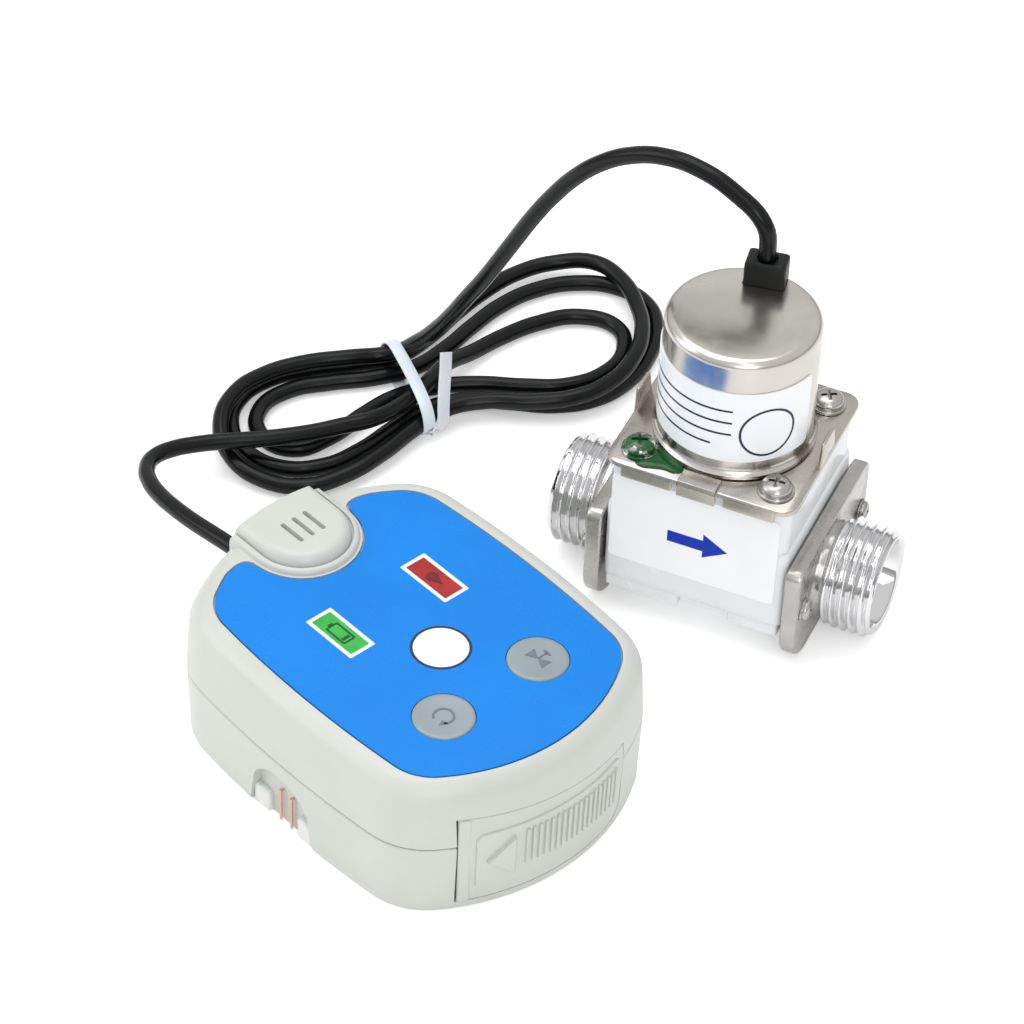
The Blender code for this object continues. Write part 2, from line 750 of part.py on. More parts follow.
def battery(number):
    obj = turned(
        f"battery_{number}",
        [
            (0.0, 0.0),
            (3.6 * MM, 0.0),
            (3.6 * MM, 0.3 * MM),
            (CELL_RADIUS - 0.4 * MM, 0.3 * MM),
            (CELL_RADIUS, 0.7 * MM),
            (CELL_RADIUS, CELL_LENGTH - 1.5 * MM),
            (CELL_RADIUS - 0.5 * MM, CELL_LENGTH - 0.9 * MM),
            (1.9 * MM, CELL_LENGTH - 0.9 * MM),
            (1.9 * MM, CELL_LENGTH),
            (0.0, CELL_LENGTH),
        ],
        14,
    )
    flip = number == 2
    turn = Matrix.Rotation(math.radians(-90.0 if flip else 90.0), 4, "Y")
    start = CELL_START + (CELL_LENGTH if flip else 0.0)
    height = FLOOR + GAP + TRAY_WALL + GAP + CELL_RADIUS
    return moved(obj, (start, CELL_Q + (number - 2) * CELL_PITCH, height), turn)


def contact(name, low_p):
    half = 1.5 * CELL_PITCH - 0.8 * MM
    low = (low_p, CELL_Q - half, CONTACT_Z[0])
    return box(name, low, (low_p + CONTACT_THICK, CELL_Q + half, CONTACT_Z[1]))


def probe_block():
    low = (-BLOCK_HALF, BLOCK_Q, FLOOR + GAP)
    obj = box("probe_block", low, (BLOCK_HALF, BLOCK_Q + BLOCK_THICK, BLOCK_TOP_Z))
    for along in PIN_P:
        hole = rod("hole", PIN_RADIUS + GAP, -4.0 * MM, 4.0 * MM, 10)
        turn = Matrix.Rotation(0.5 * math.pi, 4, "X")
        cut(obj, moved(hole, (along, BLOCK_Q, PIN_Z), turn))
    return obj


def probe_pin(name, along):
    front = BLOCK_Q - 0.6 * MM
    centres = [(along, BLOCK_Q + BLOCK_THICK + TINY, PIN_Z), (along, front, PIN_Z)]
    for step in range(1, 5):
        angle = math.radians(90.0 * step / 4)
        sideways = front - PIN_BEND * math.sin(angle)
        centres.append((along, sideways, PIN_Z - PIN_BEND + PIN_BEND * math.cos(angle)))
    centres.append((along, front - PIN_BEND, GAP))
    return tube(name, centres, PIN_RADIUS, 8)


def cable_gland():
    obj = turned(
        "cable_gland",
        [
            (0.0, -3.4 * MM),
            (GLAND_HOLE + 0.6 * MM, -3.4 * MM),
            (GLAND_HOLE + 0.6 * MM, -2.4 * MM),
            (GLAND_HOLE - GAP, -2.4 * MM),
            (GLAND_HOLE - GAP, 0.6 * MM),
            (GLAND_HOLE + 0.7 * MM, 0.6 * MM),
            (GLAND_HOLE + 0.3 * MM, GLAND_PROUD),
            (0.0, GLAND_PROUD),
        ],
        16,
    )
    turn = Matrix.Rotation(-0.5 * math.pi, 4, "Y")
    return moved(obj, (GLAND_P, GLAND_Q, GLAND_Z), turn)


# Screws
def screw(name, head_radius, head_height, shank_radius, shank_length):
    """A pan-head screw, its head standing on Z = 0 and its shank below."""
    obj = turned(
        name,
        [
            (0.0, -shank_length),
            (0.6 * shank_radius, -shank_length),
            (shank_radius, -shank_length + shank_radius),
            (shank_radius, 0.0),
            (head_radius, 0.0),
            (head_radius, 0.35 * head_height),
            (0.9 * head_radius, 0.7 * head_height),
            (0.65 * head_radius, 0.93 * head_height),
            (0.0, head_height),
        ],
        10,
    )
    return obj


# Valve
def along_axis(obj, place=0.0, turn=0.0):
    """Lays a body that was made about Z along the flow axis."""
    matrix = Matrix.Rotation(turn, 4, "Z") @ Matrix.Translation((place, 0.0, 0.0))
    matrix = matrix @ Matrix.Rotation(0.5 * math.pi, 4, "Y")
    return moved(obj, (0.0, 0.0, AXIS_Z), matrix)


def valve_body():
    obj = prism("valve_body", rounded(BODY_HALF_LENGTH, BODY_HALF_WIDTH, 2.6 * MM, 4), 8.6 * MM, BODY_TOP_Z)
    join(obj, prism("base", rounded(BODY_END, BODY_HALF_WIDTH - TINY, 1.6 * MM, 3), 8.0 * MM, 25.0 * MM))
    join(obj, along_axis(rod("hull", 10.2 * MM, -BODY_END + TINY, BODY_END - TINY)))
    for low_u, high_u in ((-16.6, -2.5), (7.0, 16.6)):
        for low_v, high_v in ((-16.7, -12.9), (12.9, 16.7)):
            low = (low_u * MM, low_v * MM, 5.8 * MM)
            join(obj, box("foot", low, (high_u * MM, high_v * MM, 9.0 * MM)))
    cut(obj, rod("chamber", DIAPHRAGM_RADIUS + GAP, SEAT_Z, BODY_TOP_Z + 5.0 * MM, 20))
    channel = [(6.4 * MM, -7.7 * MM), (12.0 * MM, -7.7 * MM), (12.0 * MM, 1.3 * MM), (6.4 * MM, 1.3 * MM)]
    cut(obj, turned("channel", [(x, SEAT_Z + z) for x, z in channel], 20))
    cut(obj, rod("seat_bore", 4.2 * MM, AXIS_Z + 1.3 * MM, SEAT_Z + 2.3 * MM, 16))
    cut(obj, along_axis(rod("outlet_bore", BORE_RADIUS, -2.0 * MM, BODY_END + 2.7 * MM, 20)))
    cut(obj, along_axis(rod("inlet_bore", BORE_RADIUS, -BODY_END - 2.7 * MM, -6.0 * MM, 20)))
    cut(obj, moved(rod("riser", 2.7 * MM, AXIS_Z + 1.3 * MM, SEAT_Z - 6.7 * MM, 12), (-9.3 * MM, 0.0, 0.0)))
    for sign in (-1, 1):
        inner = SEAL_RADII[0] - GAP
        outer = SEAL_RADII[1] + GAP
        bottom = sign * (BODY_END - SEAL_DEPTH - GAP)
        mouth = sign * (BODY_END + 1.2 * MM)
        groove = turned("groove", [(inner, bottom), (outer, bottom), (outer, mouth), (inner, mouth)], 16)
        cut(obj, along_axis(groove))
        for other in (-1, 1):
            hole = rod("hole", COVER_SCREW_RADIUS + GAP, 22.0 * MM, BODY_TOP_Z + 5.0 * MM, 8)
            cut(obj, moved(hole, (sign * COVER_SCREW_U, other * COVER_SCREW_V, 0.0)))
            hole = rod("hole", FLANGE_SCREW_RADIUS + GAP, BODY_END - 8.8 * MM, BODY_END + 1.7 * MM, 8)
            hole = along_axis(hole, turn=0.5 * math.pi * (1 - sign))
            cut(obj, moved(hole, (0.0, other * FLANGE_SCREW_V, FLANGE_SCREW_Z - AXIS_Z)))
    return obj


def fitting(name, turn):
    profile = [(0.0, FLANGE_FACE - 1.0 * MM), (THREAD_ROOT, FLANGE_FACE - 1.0 * MM)]
    along = FLANGE_FACE + THREAD_PITCH
    profile.append((THREAD_ROOT, along))
    while along + THREAD_PITCH < THREAD_END:
        profile.append((THREAD_RADIUS, along + 0.4 * THREAD_PITCH))
        profile.append((THREAD_RADIUS, along + 0.6 * THREAD_PITCH))
        profile.append((THREAD_ROOT, along + THREAD_PITCH))
        along += THREAD_PITCH
    profile += [(THREAD_ROOT, THREAD_END), (0.0, THREAD_END)]
    obj = turned(name, profile, 20)
    low = FLANGE_BOTTOM_Z - AXIS_Z
    high = FLANGE_TOP_Z - AXIS_Z
    outline = []
    for centre_x, centre_y, radius, first in (
        (-high + 2.0 * MM, FLANGE_HALF_WIDTH - 2.0 * MM, 2.0 * MM, 90.0),
        (-high + 2.0 * MM, -FLANGE_HALF_WIDTH + 2.0 * MM, 2.0 * MM, 180.0),
        (-low - 7.0 * MM, -FLANGE_HALF_WIDTH + 7.0 * MM, 7.0 * MM, 270.0),
        (-low - 7.0 * MM, FLANGE_HALF_WIDTH - 7.0 * MM, 7.0 * MM, 0.0),
    ):
        for step in range(4):
            angle = math.radians(first + 90.0 * step / 3)
            outline.append((centre_x + radius * math.cos(angle), centre_y + radius * math.sin(angle)))
    join(obj, prism("flange", outline, FLANGE_FACE - FLANGE_THICK, FLANGE_FACE))
    cut(obj, rod("bore", PORT_RADIUS, FLANGE_FACE - 10.0 * MM, THREAD_END + 9.0 * MM, 20))
    for sign in (-1, 1):
        hole = rod("hole", FLANGE_SCREW_RADIUS + 2.0 * GAP, FLANGE_FACE - 10.0 * MM, FLANGE_FACE + 9.0 * MM, 8)
        cut(obj, moved(hole, (AXIS_Z - FLANGE_SCREW_Z, sign * FLANGE_SCREW_V, 0.0)))
    return along_axis(obj, turn=turn)


def flange_screw(name, turn, across):
    obj = screw(name, 2.2 * MM, 1.5 * MM, FLANGE_SCREW_RADIUS, 10.0 * MM)
    along_axis(obj, FLANGE_FACE + GAP, turn)
    return moved(obj, (0.0, across, FLANGE_SCREW_Z - AXIS_Z))


def seal(name, sign):
    ends = (sign * (BODY_END - SEAL_DEPTH), sign * BODY_END)
    inner, outer = SEAL_RADII
    profile = [(inner, ends[0]), (outer, ends[0]), (outer, ends[1]), (inner, ends[1])]
    return along_axis(turned(name, profile, 16))


def cover_plate():
    obj = prism("cover_plate", rounded(PLATE_HALF, PLATE_HALF, PLATE_CORNER), PLATE_Z, PLATE_TOP_Z)
    for sign in (-1, 1):
        edges = sorted((sign * (PLATE_HALF - SHEET), sign * PLATE_HALF))
        for low_u, high_u in ((-14.5, -4.9), (4.9, 14.5)):
            low = (low_u * MM, edges[0], PLATE_Z - 1.99 * MM)
            join(obj, box("lip", low, (high_u * MM, edges[1], PLATE_Z + 0.4 * MM)))
        tops = sorted((sign * 15.2 * MM, sign * (PLATE_HALF + SHEET)))
        low = (-3.6 * MM, tops[0], PLATE_TOP_Z - 0.3 * MM)
        join(obj, box("clip", low, (3.6 * MM, tops[1], PLATE_TOP_Z + SHEET)))
        fronts = sorted((sign * PLATE_HALF, sign * (PLATE_HALF + SHEET)))
        low = (-3.6 * MM + TINY, fronts[0] - TINY, PLATE_Z - 1.59 * MM)
        join(obj, box("clip_lip", low, (3.6 * MM - TINY, fronts[1] + TINY, PLATE_TOP_Z + 0.4 * MM)))
        low = (edges[0], -3.8 * MM, PLATE_TOP_Z - 0.3 * MM)
        join(obj, box("tab", low, (edges[1], 3.4 * MM, PLATE_TOP_Z + 5.0 * MM)))
        for other in (-1, 1):
            hole = rod("hole", COVER_SCREW_RADIUS + GAP, PLATE_Z - 1.0 * MM, PLATE_TOP_Z + 2.0 * MM, 10)
            cut(obj, moved(hole, (sign * COVER_SCREW_U, other * COVER_SCREW_V, 0.0)))
    return cut(obj, rod("core_hole", CORE_RADIUS + GAP, PLATE_Z - 1.0 * MM, PLATE_TOP_Z + 2.0 * MM, 20))


def solenoid_can():
    base = PLATE_TOP_Z + GAP
    profile = [(0.0, CAN_TOP_Z)]
    for step in range(5):
        angle = math.radians(90.0 - 90.0 * step / 4)
        profile.append(
            (
                CAN_RADIUS - CAN_FILLET + CAN_FILLET * math.cos(angle),
                CAN_TOP_Z - CAN_FILLET + CAN_FILLET * math.sin(angle),
            )
        )
    flare = CAN_RADIUS + 0.82 * MM
    profile += [(CAN_RADIUS, base + 1.6 * MM), (flare, base + 0.7 * MM), (flare, base)]
    inner = CAN_RADIUS - SHEET
    profile += [(inner, base), (inner, CAN_TOP_Z - CAN_FILLET)]
    profile += [(CAN_RADIUS - 0.5 * CAN_FILLET, CAN_TOP_Z - SHEET - 0.9 * MM)]
    profile += [(CAN_RADIUS - CAN_FILLET, CAN_TOP_Z - SHEET), (0.0, CAN_TOP_Z - SHEET)]
    obj = turned("solenoid_can", profile, 32)
    half_u, half_v = (half + GAP for half in RELIEF_HALF)
    low = (RELIEF_PLACE[0] - half_u, RELIEF_PLACE[1] - half_v, CAN_TOP_Z - 4.1 * MM)
    high = (RELIEF_PLACE[0] + half_u, RELIEF_PLACE[1] + half_v + 2.5 * MM, CAN_TOP_Z + 1.0 * MM)
    return cut(obj, box("notch", low, high))


def strain_relief():
    outline = rounded(*RELIEF_HALF, 0.5 * MM, 2, RELIEF_PLACE)
    low = CAN_TOP_Z - 3.84 * MM
    return prism("strain_relief", outline, low, RELIEF_Z)


def can_label():
    inner = CAN_RADIUS + GAP
    outer = inner + LABEL_THICK
    steps = 18
    angles = [math.radians(-6.0 - 180.0 * step / steps) for step in range(steps + 1)]
    outline = [(outer * math.cos(angle), outer * math.sin(angle)) for angle in angles]
    outline += [(inner * math.cos(angle), inner * math.sin(angle)) for angle in reversed(angles)]
    return prism("can_label", outline, *CAN_LABEL_Z)


def flow_label():
    low = (-FLOW_LABEL_HALF, -BODY_HALF_WIDTH - GAP - LABEL_THICK, FLOW_LABEL_Z[0])
    return box("flow_label", low, (FLOW_LABEL_HALF, -BODY_HALF_WIDTH - GAP, FLOW_LABEL_Z[1]))


def coil_bobbin():
    base = PLATE_TOP_Z + GAP
    bore = CORE_RADIUS + GAP
    hub = bore + BOBBIN_WALL
    profile = [
        (bore, 0.0),
        (BOBBIN_RADIUS, 0.0),
        (BOBBIN_RADIUS, BOBBIN_FLANGE),
        (hub, BOBBIN_FLANGE),
        (hub, BOBBIN_HEIGHT - BOBBIN_FLANGE),
        (BOBBIN_RADIUS, BOBBIN_HEIGHT - BOBBIN_FLANGE),
        (BOBBIN_RADIUS, BOBBIN_HEIGHT),
        (bore, BOBBIN_HEIGHT),
    ]
    return turned("coil_bobbin", [(x, base + z) for x, z in profile], 20)


def coil_winding():
    base = PLATE_TOP_Z + GAP
    inner = CORE_RADIUS + BOBBIN_WALL + 2.0 * GAP
    outer = BOBBIN_RADIUS - 0.4 * MM
    low = base + BOBBIN_FLANGE + GAP
    high = base + BOBBIN_HEIGHT - BOBBIN_FLANGE - GAP
    return turned("coil_winding", [(inner, low), (outer, low), (outer, high), (inner, high)], 20)


def core_tube():
    inner = CORE_RADIUS - CORE_WALL
    rim = DIAPHRAGM_RADIUS - 1.9 * MM
    bottom = SEAT_Z + 2.0 * MM
    profile = [
        (0.0, CORE_TOP_Z),
        (CORE_RADIUS, CORE_TOP_Z),
        (CORE_RADIUS, BODY_TOP_Z),
        (DIAPHRAGM_RADIUS, BODY_TOP_Z),
        (DIAPHRAGM_RADIUS, bottom),
        (rim, bottom),
        (rim, bottom + 2.1 * MM),
        (inner, bottom + 2.1 * MM),
        (inner, CORE_TOP_Z - SHEET),
        (0.0, CORE_TOP_Z - SHEET),
    ]
    return turned("core_tube", profile, 20)


def plunger():
    radius = CORE_RADIUS - CORE_WALL - GAP
    tip = radius - 1.1 * MM
    neck = PLUNGER_BOTTOM_Z + 1.7 * MM
    profile = [(0.0, PLUNGER_BOTTOM_Z), (tip, PLUNGER_BOTTOM_Z), (tip, neck), (radius, neck)]
    profile += [(radius, PLUNGER_TOP_Z), (0.0, PLUNGER_TOP_Z)]
    return turned("plunger", profile, 16)


def plunger_spring():
    centres = []
    radius = CORE_RADIUS - CORE_WALL - GAP - 1.0 * MM
    start = PLUNGER_TOP_Z + SPRING_WIRE + 0.35 * MM
    rise = CORE_TOP_Z - SHEET - SPRING_WIRE - 0.45 * MM - start
    for step in range(SPRING_TURNS * 8 + 1):
        angle = 2.0 * math.pi * step / 8
        height = start + rise * step / (SPRING_TURNS * 8)
        centres.append((radius * math.cos(angle), radius * math.sin(angle), height))
    return tube("plunger_spring", centres, SPRING_WIRE, 4)


def diaphragm():
    low = SEAT_Z + GAP
    high = SEAT_Z + 2.0 * MM - GAP
    profile = [
        (0.0, low),
        (DIAPHRAGM_RADIUS, low),
        (DIAPHRAGM_RADIUS, high),
        (DIAPHRAGM_RADIUS - 2.6 * MM, high),
        (DIAPHRAGM_RADIUS - 3.8 * MM, high - 0.4 * MM),
        (DIAPHRAGM_RADIUS - 5.2 * MM, high),
        (0.0, high),
    ]
    return turned("diaphragm", profile, 20)


# Cable
def cable_piece(name, knots):
    centres = smooth_path(knots, 10.0 * MM)
    curve = bpy.data.curves.new(name, "CURVE")
    curve.dimensions = "3D"
    curve.bevel_depth = CABLE_RADIUS
    curve.bevel_resolution = 3
    curve.use_fill_caps = True
    spline = curve.splines.new("POLY")
    spline.points.add(len(centres) - 1)
    for point, centre in zip(spline.points, centres):
        point.co = (*centre, 1.0)
    obj = bpy.data.objects.new(name, curve)
    bpy.context.scene.collection.objects.link(obj)
    return obj


def to_frame(point):
    """A point of the sensor's own frame in the shared frame."""
    turn = Matrix.Rotation(SENSOR_TURN, 4, "Z")
    return Vector(SENSOR_PLACE) + turn @ Vector(point)


def from_valve(point):
    return Vector(VALVE_PLACE) + Vector(point) * MM


def cable_to_sensor():
    start = to_frame((GLAND_P - GLAND_PROUD - GAP, GLAND_Q, GLAND_Z))
    ahead = to_frame((GLAND_P - GLAND_PROUD - 4.8 * MM, GLAND_Q, GLAND_Z))
    knots = [start, ahead]
    for point in ((-97.5, -36.5, 11.0), (-105.5, -30.5, 7.0), (-107.6, -24.6, 5.4)):
        knots.append(from_valve(point))
    knots.append(hank_point(-HANK_HALF_LENGTH - 5.0 * MM, 0.0, 5.6 * MM))
    knots.append(hank_point(-HANK_HALF_LENGTH - GAP, 0.0, 5.7 * MM))
    return cable_piece("cable_to_sensor", knots)


def cable_to_valve():
    knots = [
        from_valve((0.4, 10.05, RELIEF_Z / MM + 0.3)),
        from_valve((0.4, 10.05, 69.5)),
        from_valve((-2.7, 10.6, 77.1)),
        from_valve((-11.1, 12.0, 81.9)),
        from_valve((-25.5, 14.3, 79.7)),
        from_valve((-38.1, 16.3, 69.0)),
        from_valve((-48.2, 17.9, 52.9)),
        from_valve((-55.9, 19.1, 36.3)),
        from_valve((-61.2, 19.9, 27.0)),
        from_valve((-63.5, 20.3, 16.0)),
        from_valve((-63.5, 20.3, HANK_TOP_Z / MM + 0.3)),
    ]
    return cable_piece("cable_to_valve", knots)


def hank_point(along, across, height):
    turn = Matrix.Rotation(HANK_TURN, 4, "Z")
    return Vector((*HANK_CENTRE, 0.0)) + turn @ Vector((along, across, height))


def hank_edge(along, side):
    """How far the hank reaches to one side of its axis, narrow at the tie and round at both ends."""
    if along < TIE_PLACE:
        radius, shift = HANK_LEFT_RADIUS, 0.0
    else:
        radius, shift = HANK_RIGHT_RADIUS, HANK_RIGHT_SHIFT
    reach = HANK_HALF_LENGTH - radius - abs(TIE_PLACE) * (1.0 if along < TIE_PLACE else -1.0)
    far = abs(along - TIE_PLACE)
    share = min(1.0, max(0.0, (far - TIE_HALF_WIDTH) / (reach - TIE_HALF_WIDTH)))
    share = share * share * (3.0 - 2.0 * share)
    return HANK_WAIST + (radius + side * shift - HANK_WAIST) * share


def cable_hank():
    outline = []
    for sign, radius, shift in (
        (1, HANK_RIGHT_RADIUS, HANK_RIGHT_SHIFT),
        (-1, HANK_LEFT_RADIUS, 0.0),
    ):
        centre = sign * (HANK_HALF_LENGTH - radius)
        for step in range(13):
            angle = math.radians(-90.0 + 180.0 * step / 12)
            outline.append((centre + sign * radius * math.cos(angle), shift + sign * radius * math.sin(angle)))
        steps = 8
        for step in range(1, steps):
            across_end = -sign * (HANK_HALF_LENGTH - (HANK_LEFT_RADIUS if sign > 0 else HANK_RIGHT_RADIUS))
            along = centre + (across_end - centre) * step / steps
            outline.append((along, sign * hank_edge(along, sign)))
    rings = []
    for height in (HANK_Z, HANK_TOP_Z):
        rings.append([hank_point(x, y, height) for x, y in outline])
    return loft("cable_hank", rings)


def cable_tie():
    thick = 0.6 * MM
    half = HANK_WAIST + 2.0 * GAP
    rings = []
    for across, low, high in (
        (half, HANK_Z - GAP, HANK_TOP_Z + GAP),
        (half + thick, HANK_Z - GAP - thick, HANK_TOP_Z + GAP + thick),
    ):
        for along in (TIE_PLACE - TIE_HALF_WIDTH, TIE_PLACE + TIE_HALF_WIDTH):
            corners = ((-across, low), (across, low), (across, high), (-across, high))
            rings.append([hank_point(along, y, z) for y, z in corners])
    return loft("cable_tie", [rings[0], rings[1], rings[3], rings[2]], ring_closed=True)


def finish(obj, look, smooth=False):
    obj.data.materials.clear()
    obj.data.materials.append(look)
    if smooth and obj.type == "MESH":
        for polygon in obj.data.polygons:
            polygon.use_smooth = True
    return obj


def put(group, objects):
    for obj in objects:
        obj.parent = group


def empty(name, place, turn=0.0):
    obj = bpy.data.objects.new(name, None)
    bpy.context.scene.collection.objects.link(obj)
    obj.location = place
    obj.rotation_euler = (0.0, 0.0, turn)
    return obj


def main():
    clear_scene()
    shell = material("case_plastic", (0.62, 0.64, 0.60), 0.0, 0.42)
    blue = material("overlay_blue", (0.02, 0.24, 0.78), 0.0, 0.25)
    red = material("window_red", (0.60, 0.05, 0.03), 0.0, 0.3)
    green = material("window_green", (0.06, 0.55, 0.09), 0.0, 0.3)
    clear = material("button_grey", (0.42, 0.50, 0.52), 0.0, 0.4)
    board = material("board_green", (0.02, 0.18, 0.06), 0.0, 0.5)
    black = material("black_plastic", (0.02, 0.02, 0.02), 0.0, 0.5)
    rubber = material("black_rubber", (0.012, 0.012, 0.013), 0.0, 0.35)
    white = material("valve_plastic", (0.86, 0.87, 0.88), 0.0, 0.25)
    steel = material("stainless", (0.62, 0.60, 0.57), 1.0, 0.3)
    chrome = material("chrome", (0.75, 0.76, 0.78), 1.0, 0.12)
    copper = material("copper", (0.72, 0.32, 0.20), 1.0, 0.3)
    paper = material("label_white", (0.88, 0.89, 0.90), 0.0, 0.4)
    cell = material("cell_wrap", (0.08, 0.08, 0.09), 0.3, 0.4)
    wire = material("winding", (0.50, 0.20, 0.07), 0.6, 0.4)
    tie = material("tie_white", (0.80, 0.83, 0.86), 0.0, 0.45)

    sensor = [
        finish(upper_case(), shell),
        finish(lower_case(), shell),
        finish(battery_door(), shell),
        finish(overlay_label(), blue),
        finish(window("leak_window", 1), red),
        finish(window("battery_window", -1), green),
        finish(button("close_button", 1), clear, True),
        finish(button("reset_button", -1), clear, True),
        finish(circuit_board(), board),
        finish(buzzer(), black, True),
        finish(led("leak_led", 1), red, True),
        finish(led("battery_led", -1), green, True),
        finish(switch("close_switch", 1), black),
        finish(switch("reset_switch", -1), black),
        finish(battery_cradle(), black),
        finish(contact("contact_rear", CELL_START - CONTACT_GAP - CONTACT_THICK), steel),
        finish(contact("contact_front", CELL_END + CONTACT_GAP), steel),
        finish(probe_block(), clear),
        finish(probe_pin("probe_pin_left", PIN_P[0]), copper, True),
        finish(probe_pin("probe_pin_right", PIN_P[1]), copper, True),
        finish(cable_gland(), rubber, True),
    ]
    for number in (1, 2, 3):
        sensor.append(finish(battery(number), cell, True))
    number = 0
    for end in (-1, 1):
        for sign in (-1, 1):
            number += 1
            bolt = screw(f"case_screw_{number}", 2.2 * MM, 1.4 * MM, CASE_SCREW_RADIUS, PARTING_Z + 2.74 * MM)
            flip = Matrix.Rotation(math.pi, 4, "X")
            moved(bolt, (end * POST_P, sign * POST_Q, 2.6 * MM), flip)
            sensor.append(finish(bolt, steel, True))
    put(empty("sensor_unit", SENSOR_PLACE, SENSOR_TURN), sensor)

    valve = [
        finish(valve_body(), white),
        finish(cover_plate(), steel),
        finish(solenoid_can(), steel, True),
        finish(can_label(), paper, True),
        finish(flow_label(), paper),
        finish(strain_relief(), rubber),
        finish(coil_bobbin(), black, True),
        finish(coil_winding(), wire, True),
        finish(core_tube(), steel, True),
        finish(plunger(), steel, True),
        finish(plunger_spring(), steel, True),
        finish(diaphragm(), rubber, True),
        finish(fitting("outlet_fitting", 0.0), chrome),
        finish(fitting("inlet_fitting", math.pi), chrome),
        finish(seal("outlet_seal", 1), rubber, True),
        finish(seal("inlet_seal", -1), rubber, True),
    ]
    number = 0
    for end in (-1, 1):
        for sign in (-1, 1):
            number += 1
            bolt = screw(f"cover_screw_{number}", 3.3 * MM, 2.4 * MM, COVER_SCREW_RADIUS, 12.0 * MM)
            turn = Matrix.Rotation(math.radians(20.0 + 55.0 * number), 4, "Z")
            moved(bolt, (end * COVER_SCREW_U, sign * COVER_SCREW_V, PLATE_TOP_Z + GAP), turn)
            valve.append(finish(bolt, steel, True))
            turn = 0.0 if end > 0 else math.pi
            valve.append(finish(flange_screw(f"flange_screw_{number}", turn, sign * FLANGE_SCREW_V), chrome, True))
    put(empty("valve_unit", VALVE_PLACE), valve)

    finish(cable_to_sensor(), rubber)
    finish(cable_to_valve(), rubber)
    finish(cable_hank(), rubber)
    finish(cable_tie(), tie)


main()
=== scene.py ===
"""Water leak sensor with its cable and its G1/2 shut-off valve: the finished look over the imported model."""

from __future__ import annotations

import logging
import math
from collections.abc import Callable, Iterable, Sequence
from dataclasses import dataclass
from enum import Enum

import bmesh
import bpy
from mathutils import Matrix, Vector

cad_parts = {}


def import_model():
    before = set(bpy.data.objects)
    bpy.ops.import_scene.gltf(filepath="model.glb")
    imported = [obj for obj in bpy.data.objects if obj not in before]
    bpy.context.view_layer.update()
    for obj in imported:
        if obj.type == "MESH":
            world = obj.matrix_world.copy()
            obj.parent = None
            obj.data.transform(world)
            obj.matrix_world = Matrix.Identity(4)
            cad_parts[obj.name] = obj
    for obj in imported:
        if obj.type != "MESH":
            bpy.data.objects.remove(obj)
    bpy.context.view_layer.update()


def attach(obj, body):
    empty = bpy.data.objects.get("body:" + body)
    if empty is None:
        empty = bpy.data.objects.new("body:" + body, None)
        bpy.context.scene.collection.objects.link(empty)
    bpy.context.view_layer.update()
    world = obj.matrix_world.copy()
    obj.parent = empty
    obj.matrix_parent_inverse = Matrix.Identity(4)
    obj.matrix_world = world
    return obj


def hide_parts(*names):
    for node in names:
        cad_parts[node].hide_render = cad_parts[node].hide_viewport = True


LOG = logging.getLogger("leak_sensor")
MM = 0.001
Triple = tuple[float, float, float]
Pair = tuple[float, float]
Test = Callable[[Vector, Vector], bool]


class Body(Enum):
    """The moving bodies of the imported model."""

    UNIT = "unit"
    DOOR = "door"
    CLOSE_KEY = "close_key"
    RESET_KEY = "reset_key"
    PLUNGER = "plunger"


class Bench(Enum):
    """Where a piece is made before it is put in its place: the sensor's own frame, the valve's, or the shared one."""

    SENSOR = "sensor"
    VALVE = "valve"
    SHARED = "shared"

    def matrix(self) -> Matrix:
        """Gives the move from this bench into the shared frame.

        Returns:
            A placing matrix in metres.
        """
        if self is Bench.SENSOR:
            place = Matrix.Translation((-11.994 * MM, -23.192 * MM, 0.0))
            return place @ Matrix.Rotation(math.radians(-24.0), 4, "Z")
        if self is Bench.VALVE:
            return Matrix.Translation((20.886 * MM, 41.118 * MM, 0.0))
        return Matrix.Identity(4)


# Finishes


